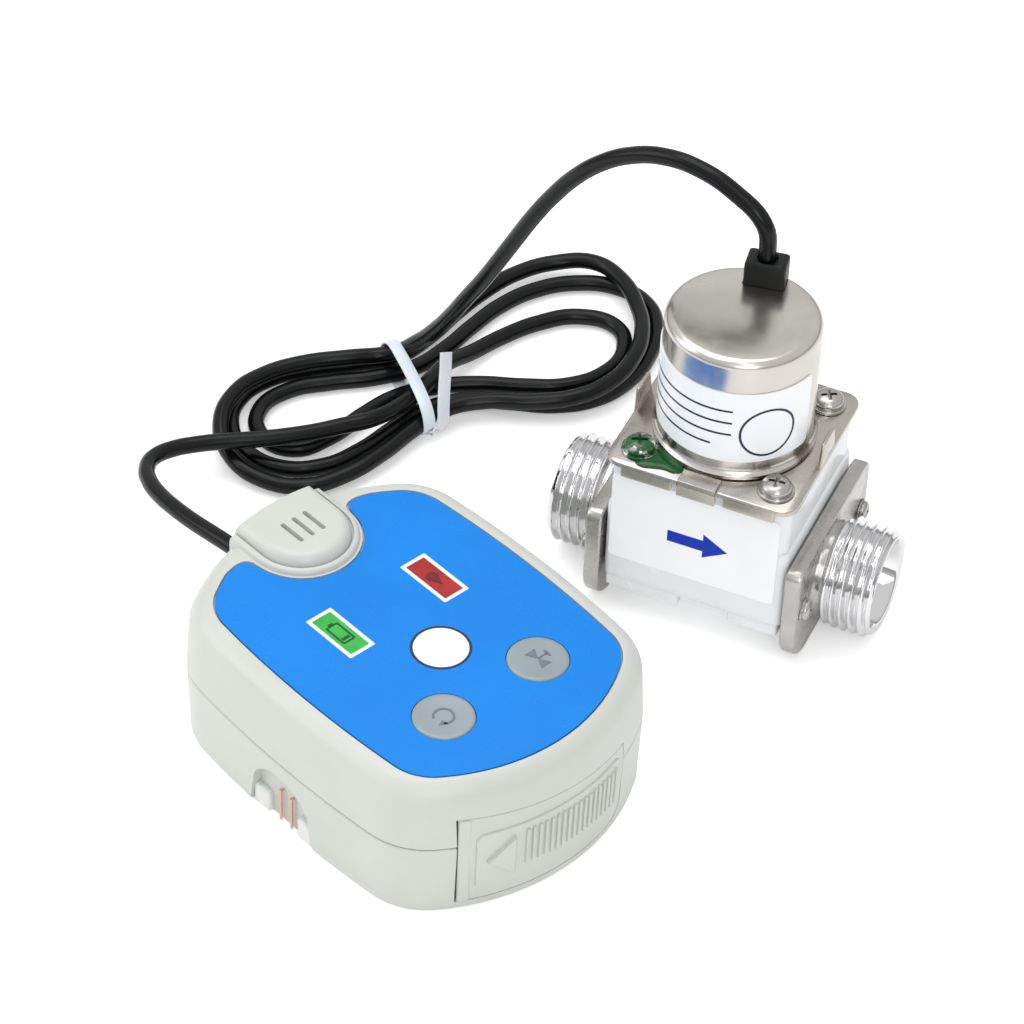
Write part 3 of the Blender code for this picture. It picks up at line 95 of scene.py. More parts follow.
class Nodes:
    """A short way to wire one material's nodes."""

    def __init__(self, name: str) -> None:
        """Starts a material with its Principled shader.

        Args:
            name: the finish's name.
        """
        self.material = bpy.data.materials.new(name)
        self.material.use_nodes = True
        self.tree = self.material.node_tree
        self.shader = self.tree.nodes["Principled BSDF"]
        self.place = self.tree.nodes.new("ShaderNodeTexCoord").outputs["Object"]

    def node(self, kind: str, **values: object) -> bpy.types.Node:
        """Adds a node and sets its plain values.

        Args:
            kind: the node's Blender type.
            values: attributes, or input names with _ for spaces.

        Returns:
            The new node.
        """
        made = self.tree.nodes.new(kind)
        for key, value in values.items():
            name = key.replace("_", " ")
            if name in made.inputs:
                made.inputs[name].default_value = value
            else:
                setattr(made, key, value)
        return made

    def link(self, source: bpy.types.NodeSocket, target: bpy.types.NodeSocket) -> None:
        """Wires one socket to another."""
        self.tree.links.new(source, target)

    def mapped(
        self, scale: Triple, place: Triple = (0.0, 0.0, 0.0), turn: float = 0.0,
    ) -> bpy.types.NodeSocket:
        """Scales, moves and turns the object coordinates.

        Args:
            scale: how much each axis is stretched.
            place: the shift.
            turn: the turn about Z, in radians.

        Returns:
            The mapped vector.
        """
        mapping = self.node("ShaderNodeMapping")
        mapping.inputs["Scale"].default_value = scale
        mapping.inputs["Location"].default_value = place
        mapping.inputs["Rotation"].default_value = (0.0, 0.0, turn)
        self.link(self.place, mapping.inputs["Vector"])
        return mapping.outputs["Vector"]

    def noise(
        self, scale: float, detail: float = 3.0, stretch: Triple = (1.0, 1.0, 1.0),
    ) -> bpy.types.NodeSocket:
        """Adds a noise pattern.

        Args:
            scale: cycles a metre.
            detail: octaves.
            stretch: how much each axis is stretched first.

        Returns:
            Its factor.
        """
        pattern = self.node("ShaderNodeTexNoise", Scale=scale, Detail=detail, Roughness=0.55)
        self.link(self.mapped(stretch), pattern.inputs["Vector"])
        return pattern.outputs["Fac"]

    def ramp(
        self, source: bpy.types.NodeSocket, stops: Sequence[tuple[float, Triple]],
    ) -> bpy.types.NodeSocket:
        """Turns a factor into a colour.

        Args:
            source: the factor.
            stops: places and colours.

        Returns:
            The colour.
        """
        ramp = self.node("ShaderNodeValToRGB")
        points = ramp.color_ramp.elements
        while len(points) < len(stops):
            points.new(0.5)
        for point, (place, colour) in zip(points, stops):
            point.position = place
            point.color = (*colour, 1.0)
        self.link(source, ramp.inputs["Fac"])
        return ramp.outputs["Color"]

    def spread(self, source: bpy.types.NodeSocket, low: float, high: float) -> bpy.types.NodeSocket:
        """Maps a noise factor to a range.

        Args:
            source: the factor.
            low: the value at 0.3.
            high: the value at 0.7.

        Returns:
            The value.
        """
        scale = self.node("ShaderNodeMapRange")
        scale.inputs["From Min"].default_value = 0.3
        scale.inputs["From Max"].default_value = 0.7
        scale.inputs["To Min"].default_value = low
        scale.inputs["To Max"].default_value = high
        self.link(source, scale.inputs["Value"])
        return scale.outputs["Result"]

    def soft(self, radius: float) -> None:
        """Rounds the shading at every edge.

        Args:
            radius: the rounding in mm.
        """
        edge = self.node("ShaderNodeBevel", samples=4)
        edge.inputs["Radius"].default_value = radius * MM
        self.link(edge.outputs["Normal"], self.shader.inputs["Normal"])

    def bump(self, source: bpy.types.NodeSocket, height: float, strength: float = 1.0) -> None:
        """Presses a pattern into the surface.

        Args:
            source: the pattern.
            height: its depth in metres.
            strength: its share.
        """
        bump = self.node("ShaderNodeBump", Distance=height, Strength=strength)
        self.link(source, bump.inputs["Height"])
        if self.shader.inputs["Normal"].is_linked:
            self.link(self.shader.inputs["Normal"].links[0].from_socket, bump.inputs["Normal"])
        self.link(bump.outputs["Normal"], self.shader.inputs["Normal"])

    def set(self, **values: float | Triple) -> None:
        """Sets constant inputs of the shader, with _ for spaces."""
        for key, value in values.items():
            socket = self.shader.inputs[key.replace("_", " ")]
            colour = isinstance(value, tuple) and len(value) == 3 and socket.type == "RGBA"
            socket.default_value = (*value, 1.0) if colour else value


def shade(colour: Triple, factor: float) -> Triple:
    """Makes a colour lighter or darker."""
    return tuple(min(1.0, part * factor) for part in colour)


@dataclass(frozen=True)
class Moulded:
    """Injection-moulded plastic or rubber, with fine grain and slight shading from handling."""

    name: str
    colour: Triple
    rough: float = 0.42
    grain: float = 2600.0
    depth: float = 0.012
    mottle: float = 0.04
    coat: float = 0.0
    clear: float = 0.0
    deep: float = 0.0
    edge: float = 0.15
    gloss: float = 0.5

    def make(self) -> bpy.types.Material:
        """Wires the material.

        Returns:
            The finished material.
        """
        look = Nodes(self.name)
        look.soft(self.edge)
        cloud = look.noise(60.0, 4.0)
        low = shade(self.colour, 1.0 - self.mottle)
        high = shade(self.colour, 1.0 + self.mottle)
        look.link(look.ramp(cloud, [(0.32, low), (0.68, high)]), look.shader.inputs["Base Color"])
        fine = look.noise(self.grain, 2.0)
        look.link(look.spread(cloud, self.rough - 0.05, self.rough + 0.05), look.shader.inputs["Roughness"])
        look.bump(fine, self.depth * MM, 0.6)
        look.set(Coat_Weight=self.coat, Coat_Roughness=0.08, Transmission_Weight=self.clear)
        look.set(Specular_IOR_Level=self.gloss)
        if self.deep:
            look.set(Subsurface_Weight=self.deep, Subsurface_Scale=2.0 * MM)
        return look.material


@dataclass(frozen=True)
class Metal:
    """Bare or plated metal with rolling or turning marks, smudges and small pits."""

    name: str
    colour: Triple
    rough: float = 0.25
    spread: float = 0.08
    stretch: Triple = (1.0, 1.0, 30.0)
    marks: float = 0.004
    smudge: float = 0.12
    pits: float = 0.0
    edge: float = 0.12

    def make(self) -> bpy.types.Material:
        """Wires the material.

        Returns:
            The finished material.
        """
        look = Nodes(self.name)
        look.soft(self.edge)
        streaks = look.noise(240.0, 3.0, self.stretch)
        cloud = look.noise(95.0, 5.0)
        colour = look.ramp(cloud, [(0.3, shade(self.colour, 1.0 - self.smudge)), (0.7, self.colour)])
        look.link(colour, look.shader.inputs["Base Color"])
        blend = look.node("ShaderNodeMix", data_type="FLOAT")
        blend.inputs["Factor"].default_value = 0.5
        look.link(streaks, blend.inputs[2])
        look.link(cloud, blend.inputs[3])
        rough = look.spread(blend.outputs[0], self.rough - self.spread, self.rough + self.spread)
        look.link(rough, look.shader.inputs["Roughness"])
        look.bump(streaks, self.marks * MM, 0.7)
        if self.pits:
            look.bump(look.noise(1500.0, 2.0), self.pits * MM, 0.8)
        look.set(Metallic=1.0)
        return look.material


@dataclass(frozen=True)
class Film:
    """Printed glossy film or paper, with a faint orange-peel in its top coat."""

    name: str
    colour: Triple
    rough: float = 0.26
    coat: float = 0.15
    gloss: float = 0.3

    def make(self) -> bpy.types.Material:
        """Wires the material.

        Returns:
            The finished material.
        """
        look = Nodes(self.name)
        cloud = look.noise(45.0, 3.0)
        colour = look.ramp(cloud, [(0.3, shade(self.colour, 0.94)), (0.7, shade(self.colour, 1.04))])
        look.link(colour, look.shader.inputs["Base Color"])
        rough = look.spread(look.noise(150.0, 3.0), self.rough - 0.04, self.rough + 0.06)
        look.link(rough, look.shader.inputs["Roughness"])
        look.bump(look.noise(320.0, 2.0), 0.012 * MM, 0.5)
        look.set(Coat_Weight=self.coat, Coat_Roughness=0.06, Specular_IOR_Level=self.gloss)
        return look.material


@dataclass(frozen=True)
class Lens:
    """A tinted clear window with a faint glow of its colour under the surface."""

    name: str
    colour: Triple
    rough: float = 0.2
    clear: float = 0.15

    def make(self) -> bpy.types.Material:
        """Wires the material.

        Returns:
            The finished material.
        """
        look = Nodes(self.name)
        cloud = look.noise(260.0, 3.0)
        colour = look.ramp(cloud, [(0.3, shade(self.colour, 0.82)), (0.7, shade(self.colour, 1.12))])
        look.link(colour, look.shader.inputs["Base Color"])
        look.link(look.spread(cloud, self.rough - 0.05, self.rough + 0.08), look.shader.inputs["Roughness"])
        look.bump(look.noise(900.0, 2.0), 0.01 * MM, 0.5)
        look.set(Coat_Weight=0.2, Coat_Roughness=0.1, Transmission_Weight=self.clear, Specular_IOR_Level=0.3)
        return look.material


@dataclass(frozen=True)
class Wound:
    """Enamelled copper wire wound in close turns, with painted shade between the turns."""

    name: str = "winding_wire"
    colour: Triple = (0.45, 0.16, 0.05)

    def make(self) -> bpy.types.Material:
        """Wires the material.

        Returns:
            The finished material.
        """
        look = Nodes(self.name)
        wave = look.node("ShaderNodeTexWave", Scale=900.0, bands_direction="Z")
        look.link(look.place, wave.inputs["Vector"])
        # The colour falls to half in each valley of the wave: painted shade between the turns, on top of the bump that
        # shapes them.
        colour = look.ramp(wave.outputs["Fac"], [(0.0, shade(self.colour, 0.5)), (1.0, self.colour)])
        look.link(colour, look.shader.inputs["Base Color"])
        look.bump(wave.outputs["Fac"], 0.05 * MM)
        look.set(Metallic=0.7, Roughness=0.35)
        return look.material


@dataclass(frozen=True)
class Daubed:
    """Plated steel with dried thread lacquer over part of it."""

    name: str = "daubed_steel"
    metal: Triple = (0.52, 0.51, 0.49)
    paint: Triple = (0.002, 0.075, 0.014)

    def make(self) -> bpy.types.Material:
        """Wires the material.

        Returns:
            The finished material.
        """
        look = Nodes(self.name)
        patch = look.noise(330.0, 3.0)
        look.link(
            look.ramp(patch, [(0.54, self.paint), (0.58, self.metal)]), look.shader.inputs["Base Color"],
        )
        bare = look.ramp(patch, [(0.54, (0.0, 0.0, 0.0)), (0.58, (1.0, 1.0, 1.0))])
        look.link(bare, look.shader.inputs["Metallic"])
        look.link(look.spread(patch, 0.12, 0.3), look.shader.inputs["Roughness"])
        look.bump(look.noise(700.0, 3.0), 0.05 * MM, 0.6)
        look.set(Coat_Weight=0.5, Coat_Roughness=0.08)
        return look.material


class Finishes:
    """All the finishes of the object, each made once."""

    def __init__(self) -> None:
        """Makes every material."""
        self.case = Moulded("case_shell", (0.575, 0.592, 0.552), 0.33, 2400.0, 0.008, 0.03).make()
        self.overlay = Film("overlay_film", (0.002, 0.215, 0.72), coat=0.05, gloss=0.2).make()
        self.print_white = Film("print_white", (0.82, 0.86, 0.90)).make()
        self.print_dark = Film("print_dark", (0.018, 0.022, 0.06)).make()
        self.print_grey = Film("print_grey", (0.16, 0.19, 0.22)).make()
        self.key = Moulded("key_cap", (0.30, 0.355, 0.38), 0.34, 1800.0, 0.01, 0.08, 0.3, 0.1, 0.2).make()
        self.red = Lens("window_red_lens", (0.44, 0.018, 0.014)).make()
        self.green = Lens("window_green_lens", (0.035, 0.50, 0.07)).make()
        self.board = Film("board_mask", (0.01, 0.14, 0.045), 0.3, 0.3).make()
        self.black = Moulded(
            "black_moulding", (0.007, 0.008, 0.008), 0.4, 2200.0, 0.012, 0.1, gloss=0.25,
        ).make()
        self.rubber = Moulded(
            "black_rubber_skin", (0.005, 0.005, 0.006), 0.4, 1500.0, 0.012, 0.12, gloss=0.2,
        ).make()
        self.sheath = Moulded(
            "cable_sheath", (0.0035, 0.004, 0.0045), 0.24, 900.0, 0.012, 0.15, gloss=0.24,
        ).make()
        self.body = Moulded(
            "valve_moulding", (0.80, 0.81, 0.83), 0.24, 1600.0, 0.006, 0.02, 0.25, 0.0, 0.15,
        ).make()
        self.milky = Moulded(
            "probe_insert", (0.80, 0.81, 0.80), 0.28, 1200.0, 0.01, 0.05, 0.3, 0.12, 0.3,
        ).make()
        self.steel = Metal(
            "pressed_stainless", (0.55, 0.52, 0.475), 0.25, 0.09, (1.0, 14.0, 1.0), 0.004, 0.16, 0.004,
        ).make()
        self.can = Metal("drawn_can", (0.66, 0.63, 0.59), 0.23, 0.07, (1.0, 1.0, 26.0), 0.003, 0.14).make()
        self.chrome = Metal(
            "chrome_plate", (0.78, 0.78, 0.79), 0.07, 0.04, (1.0, 1.0, 1.0), 0.002, 0.08, 0.003,
        ).make()
        self.cast = Metal(
            "plated_casting", (0.56, 0.55, 0.53), 0.26, 0.12, (1.0, 1.0, 1.0), 0.005, 0.3, 0.025,
        ).make()
        self.copper = Metal(
            "copper_pin", (0.88, 0.50, 0.42), 0.25, 0.08, (1.0, 1.0, 20.0), 0.003, 0.25,
        ).make()
        self.paper = Film("label_stock", (0.93, 0.945, 0.965), 0.34, 0.2).make()
        self.ink_blue = Film("arrow_ink", (0.004, 0.03, 0.44), 0.3, 0.05, 0.2).make()
        self.red_dark = Film("icon_red", (0.16, 0.012, 0.01)).make()
        self.green_dark = Film("icon_green", (0.008, 0.075, 0.02)).make()
        self.lacquer = Lens("thread_lacquer", (0.002, 0.085, 0.016), 0.10, 0.25).make()
        self.cell = Film("cell_wrap_foil", (0.03, 0.035, 0.05), 0.3, 0.4).make()
        self.tie = Moulded("tie_ribbon", (0.72, 0.77, 0.82), 0.36, 700.0, 0.02, 0.05, 0.2, 0.05, 0.2).make()
        self.winding = Wound().make()
        self.daubed = Daubed().make()
        self.floor = Moulded("studio_floor", (0.93, 0.93, 0.93), 0.6, 300.0, 0.0, 0.004).make()


# Bench work


def leave_edit() -> None:
    """Goes back to object mode with nothing selected."""
    if bpy.context.object is not None and bpy.context.object.mode != "OBJECT":
        bpy.ops.object.mode_set(mode="OBJECT")
    bpy.ops.object.select_all(action="DESELECT")


class Work:
    """One mesh on the bench: a primitive that edit-mode operators and modifiers shape into a piece."""

    def __init__(self, name: str) -> None:
        """Takes the primitive that was just added.

        Args:
            name: the piece's name.
        """
        self.obj = bpy.context.object
        self.obj.name = name
        self.obj.data.name = name
        bpy.ops.object.transform_apply(location=True, rotation=True, scale=True)

    @classmethod
    def block(cls, name: str, low: Triple, high: Triple) -> Work:
        """Adds a block between two corners.

        Args:
            name: the piece's name.
            low: its lowest corner, in mm.
            high: its highest corner, in mm.

        Returns:
            The block.
        """
        leave_edit()
        middle = [0.5 * (a + b) * MM for a, b in zip(low, high)]
        size = [(b - a) * MM for a, b in zip(low, high)]
        bpy.ops.mesh.primitive_cube_add(size=1.0, location=middle, scale=size)
        return cls(name)

    @classmethod
    def rod(
        cls, name: str, radius: float, low: float, high: float, sides: int = 48, at: Pair = (0.0, 0.0),
    ) -> Work:
        """Adds an upright cylinder.

        Args:
            name: the piece's name.
            radius: in mm.
            low: its lower end, in mm.
            high: its upper end, in mm.
            sides: how many sides.
            at: its place, in mm.

        Returns:
            The cylinder.
        """
        leave_edit()
        place = (at[0] * MM, at[1] * MM, 0.5 * (low + high) * MM)
        bpy.ops.mesh.primitive_cylinder_add(
            vertices=sides, radius=radius * MM, depth=(high - low) * MM, location=place,
        )
        return cls(name)

    @classmethod
    def stack(cls, name: str, rings: Sequence[Sequence[Triple]]) -> Work:
        """Extrudes a disc up through rings of points, closed at both ends.

        Args:
            name: the piece's name.
            rings: rings of equal length, in mm, going round counter-clockwise.

        Returns:
            The solid.
        """
        leave_edit()
        count = len(rings[0])
        bpy.ops.mesh.primitive_circle_add(vertices=count, radius=MM, fill_type="NGON")
        work = cls(name)
        mesh = work.open("VERT")
        mesh.verts.ensure_lookup_table()
        for vertex, point in zip(mesh.verts, rings[0]):
            vertex.co = Vector(point) * MM
        work.close(mesh)
        last = [Vector(point) * MM for point in rings[0]]
        bpy.ops.mesh.select_all(action="SELECT")
        for ring in rings[1:]:
            bpy.ops.mesh.extrude_region_move(TRANSFORM_OT_translate={"value": (0.0, 0.0, 7.0 * MM)})
            mesh = bmesh.from_edit_mesh(work.obj.data)
            chosen = [vertex for vertex in mesh.verts if vertex.select]
            found = {}
            for index, point in enumerate(last):
                found[tuple(round(part, 7) for part in point + Vector((0.0, 0.0, 7.0 * MM)))] = index
            for vertex in chosen:
                index = found.get(tuple(round(part, 7) for part in vertex.co))
                if index is None:
                    index = min(
                        range(count),
                        key=lambda step: (last[step] + Vector((0, 0, 7.0 * MM)) - vertex.co).length,
                    )
                vertex.co = Vector(ring[index]) * MM
            work.close(mesh)
            last = [Vector(point) * MM for point in ring]
        work.outward()
        return work

    @classmethod
    def spun(cls, name: str, profile: Sequence[Pair], steps: int = 64) -> Work:
        """Spins a profile about Z.

        Args:
            name: the piece's name.
            profile: (radius, height) points, in mm, from axis to axis or closed.
            steps: how many steps a turn.

        Returns:
            The solid.
        """
        leave_edit()
        bpy.ops.mesh.primitive_plane_add(size=MM)
        work = cls(name)
        work.open("VERT")
        bpy.ops.mesh.select_all(action="SELECT")
        bpy.ops.mesh.merge(type="CENTER")
        first = profile[0]
        bpy.ops.transform.translate(value=(first[0] * MM, 0.0, first[1] * MM))
        here = first
        points = list(profile[1:])
        closed = profile[0][0] > 0.0 or profile[-1][0] > 0.0
        if closed:
            points.append(first)
        for point in points:
            shift = ((point[0] - here[0]) * MM, 0.0, (point[1] - here[1]) * MM)
            bpy.ops.mesh.extrude_region_move(TRANSFORM_OT_translate={"value": shift})
            here = point
        bpy.ops.mesh.select_all(action="SELECT")
        bpy.ops.mesh.remove_doubles(threshold=1e-7)
        bpy.ops.mesh.select_all(action="SELECT")
        bpy.ops.mesh.spin(steps=steps, angle=2.0 * math.pi, center=(0.0, 0.0, 0.0), axis=(0.0, 0.0, 1.0))
        work.outward()
        return work

    def open(self, kind: str = "FACE") -> bmesh.types.BMesh:
        """Opens the piece in edit mode.

        Args:
            kind: VERT, EDGE or FACE selection.

        Returns:
            Its edit mesh.
        """
        if bpy.context.object is not self.obj or self.obj.mode != "EDIT":
            leave_edit()
            self.obj.select_set(True)
            bpy.context.view_layer.objects.active = self.obj
            bpy.ops.object.mode_set(mode="EDIT")
        bpy.ops.mesh.select_mode(type=kind)
        return bmesh.from_edit_mesh(self.obj.data)

    def close(self, mesh: bmesh.types.BMesh) -> None:
        """Writes changes of the edit mesh."""
        bmesh.update_edit_mesh(self.obj.data)

    def outward(self) -> Work:
        """Merges doubles and turns the faces outwards.

        Returns:
            This piece.
        """
        self.open("VERT")
        bpy.ops.mesh.select_all(action="SELECT")
        bpy.ops.mesh.remove_doubles(threshold=1e-6)
        bpy.ops.mesh.normals_make_consistent(inside=False)
        return self

    def faces(self, test: Test) -> Work:
        """Selects faces by their middle, in mm, and normal.

        Args:
            test: says which.

        Returns:
            This piece.
        """
        mesh = self.open("FACE")
        bpy.ops.mesh.select_all(action="DESELECT")
        mesh = bmesh.from_edit_mesh(self.obj.data)
        mesh.normal_update()
        for face in mesh.faces:
            face.select_set(bool(test(face.calc_center_median() / MM, face.normal)))
        mesh.select_flush_mode()
        self.close(mesh)
        return self

    def edges(self, test: Test) -> Work:
        """Selects edges by their middle, in mm, and direction.

        Args:
            test: says which.

        Returns:
            This piece.
        """
        self.open("EDGE")
        bpy.ops.mesh.select_all(action="DESELECT")
        mesh = bmesh.from_edit_mesh(self.obj.data)
        for edge in mesh.edges:
            start, stop = (vertex.co for vertex in edge.verts)
            edge.select_set(bool(test(0.5 * (start + stop) / MM, (stop - start).normalized())))
        mesh.select_flush_mode()
        self.close(mesh)
        return self

    def extrude(self, shift: Triple) -> Work:
        """Extrudes what is selected by a shift in mm."""
        value = tuple(part * MM for part in shift)
        bpy.ops.mesh.extrude_region_move(TRANSFORM_OT_translate={"value": value})
        return self

    def inset(self, width: float, depth: float = 0.0) -> Work:
        """Insets the selected faces, in mm."""
        bpy.ops.mesh.inset(thickness=width * MM, depth=depth * MM)
        return self

    def scale(self, factors: Triple, centre: Triple) -> Work:
        """Scales what is selected about a centre in mm."""
        bpy.ops.transform.resize(value=factors, center_override=tuple(part * MM for part in centre))
        return self

    def bevel(self, width: float, segments: int = 2) -> Work:
        """Bevels the selected edges, in mm."""
        bpy.ops.mesh.bevel(offset=width * MM, segments=segments, affect="EDGES", clamp_overlap=True)
        return self

    def slice(self, places: Iterable[float], normal: Triple) -> Work:
        """Bisects the whole piece at planes, so that it can follow a curve.

        Args:
            places: distances along the normal, in mm.
            normal: the planes' direction.

        Returns:
            This piece.
        """
        self.open("FACE")
        for place in places:
            bpy.ops.mesh.select_all(action="SELECT")
            at = tuple(part * place * MM for part in normal)
            bpy.ops.mesh.bisect(plane_co=at, plane_no=normal)
        return self

    def bend(self, shape: Callable[[Vector], Triple]) -> Work:
        """Moves every point by a rule in mm.

        Args:
            shape: the new place for an old place.

        Returns:
            This piece.
        """
        leave_edit()
        for vertex in self.obj.data.vertices:
            vertex.co = Vector(shape(vertex.co / MM)) * MM
        self.obj.data.update()
        return self

    def modify(self, kind: str, **values: object) -> Work:
        """Adds a modifier and applies it.

        Args:
            kind: the modifier's type.
            values: its settings.

        Returns:
            This piece.
        """
        leave_edit()
        self.obj.select_set(True)
        bpy.context.view_layer.objects.active = self.obj
        modifier = self.obj.modifiers.new(kind.lower(), kind)
        for key, value in values.items():
            setattr(modifier, key, value)
        bpy.ops.object.modifier_apply(modifier=modifier.name)
        return self

    def soften(self, width: float, segments: int = 2, angle: float = 35.0) -> Work:
        """Rounds every sharp edge, in mm."""
        return self.modify(
            "BEVEL",
            width=width * MM,
            segments=segments,
            limit_method="ANGLE",
            angle_limit=math.radians(angle),
            use_clamp_overlap=True,
            miter_outer="MITER_ARC",
        )

    def combine(self, other: Work, how: str) -> Work:
        """Joins, cuts or trims with another piece, which is used up.

        Args:
            other: the other piece.
            how: UNION, DIFFERENCE or INTERSECT.

        Returns:
            This piece.
        """
        leave_edit()
        self.modify("BOOLEAN", object=other.obj, operation=how, solver="EXACT")
        bpy.data.objects.remove(other.obj, do_unlink=True)
        return self

    def cut(self, other: Work) -> Work:
        """Cuts another piece out of this one."""
        return self.combine(other, "DIFFERENCE")

    def fuse(self, other: Work) -> Work:
        """Joins another piece to this one."""
        return self.combine(other, "UNION")

    def gather(self, others: Sequence[Work]) -> Work:
        """Puts separate shells into this one mesh.

        Args:
            others: the other pieces.

        Returns:
            This piece.
        """
        leave_edit()
        for other in others:
            other.obj.select_set(True)
        self.obj.select_set(True)
        bpy.context.view_layer.objects.active = self.obj
        bpy.ops.object.join()
        return self

    def copy(self, name: str) -> Work:
        """Copies the piece with its own mesh.

        Args:
            name: the copy's name.

        Returns:
            The copy.
        """
        leave_edit()
        self.obj.select_set(True)
        bpy.context.view_layer.objects.active = self.obj
        bpy.ops.object.duplicate(linked=False)
        return Work(name)

    def move(self, matrix: Matrix) -> Work:
        """Moves the piece's mesh.

        Args:
            matrix: the placing matrix, in metres.

        Returns:
            This piece.
        """
        leave_edit()
        self.obj.select_set(True)
        bpy.context.view_layer.objects.active = self.obj
        self.obj.matrix_world = matrix
        bpy.ops.object.transform_apply(location=True, rotation=True, scale=True)
        return self

    def shift(self, place: Triple, turn: float = 0.0, axis: str = "Z") -> Work:
        """Turns and then shifts the piece.

        Args:
            place: the shift, in mm.
            turn: the turn, in degrees.
            axis: the turning axis.

        Returns:
            This piece.
        """
        matrix = Matrix.Translation([part * MM for part in place])
        return self.move(matrix @ Matrix.Rotation(math.radians(turn), 4, axis))

    def finish(
        self,
        look: bpy.types.Material,
        bench: Bench,
        body: Body = Body.UNIT,
        nodes: Sequence[str] = (),
        slot: str | None = None,
        smooth: float = 35.0,
    ) -> bpy.types.Object:
        """Args:
            look: its material.
            bench: the frame it was made in.
            body: the body it rides on.
            nodes: the model's nodes it stands for.
            slot: not used.
            smooth: the angle below which it is shaded smooth, in degrees.

        Returns:
            The finished object.
        """
        self.move(bench.matrix())
        leave_edit()
        plain = self.obj.name.split(".")[0]
        if plain != self.obj.name and nodes:
            self.obj.name = f"{plain}_dressed"
        self.obj.select_set(True)
        bpy.context.view_layer.objects.active = self.obj
        bpy.ops.object.shade_smooth_by_angle(angle=math.radians(smooth))
        self.obj.data.materials.clear()
        self.obj.data.materials.append(look)
        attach(self.obj, body.value)
        if nodes:
            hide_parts(*nodes)
        LOG.info("%s: %d faces", self.obj.name, len(self.obj.data.polygons))
        return self.obj


def dress(name: str, look: bpy.types.Material) -> None:
    """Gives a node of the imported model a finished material.

    Args:
        name: the node.
        look: the material.
    """
    obj = bpy.data.objects[name]
    obj.data.materials.clear()
    obj.data.materials.append(look)


# Cable


def between(a: Vector, b: Vector, c: Vector, d: Vector, t: float) -> Vector:
    """Gives the point at a share t of the way from b to c on the smooth curve through a, b, c and d."""
    rise = (c - a) * t
    turn = (2 * a - 5 * b + 4 * c - d) * t**2
    twist = (3 * b - a - 3 * c + d) * t**3
    return 0.5 * (2 * b + rise + turn + twist)


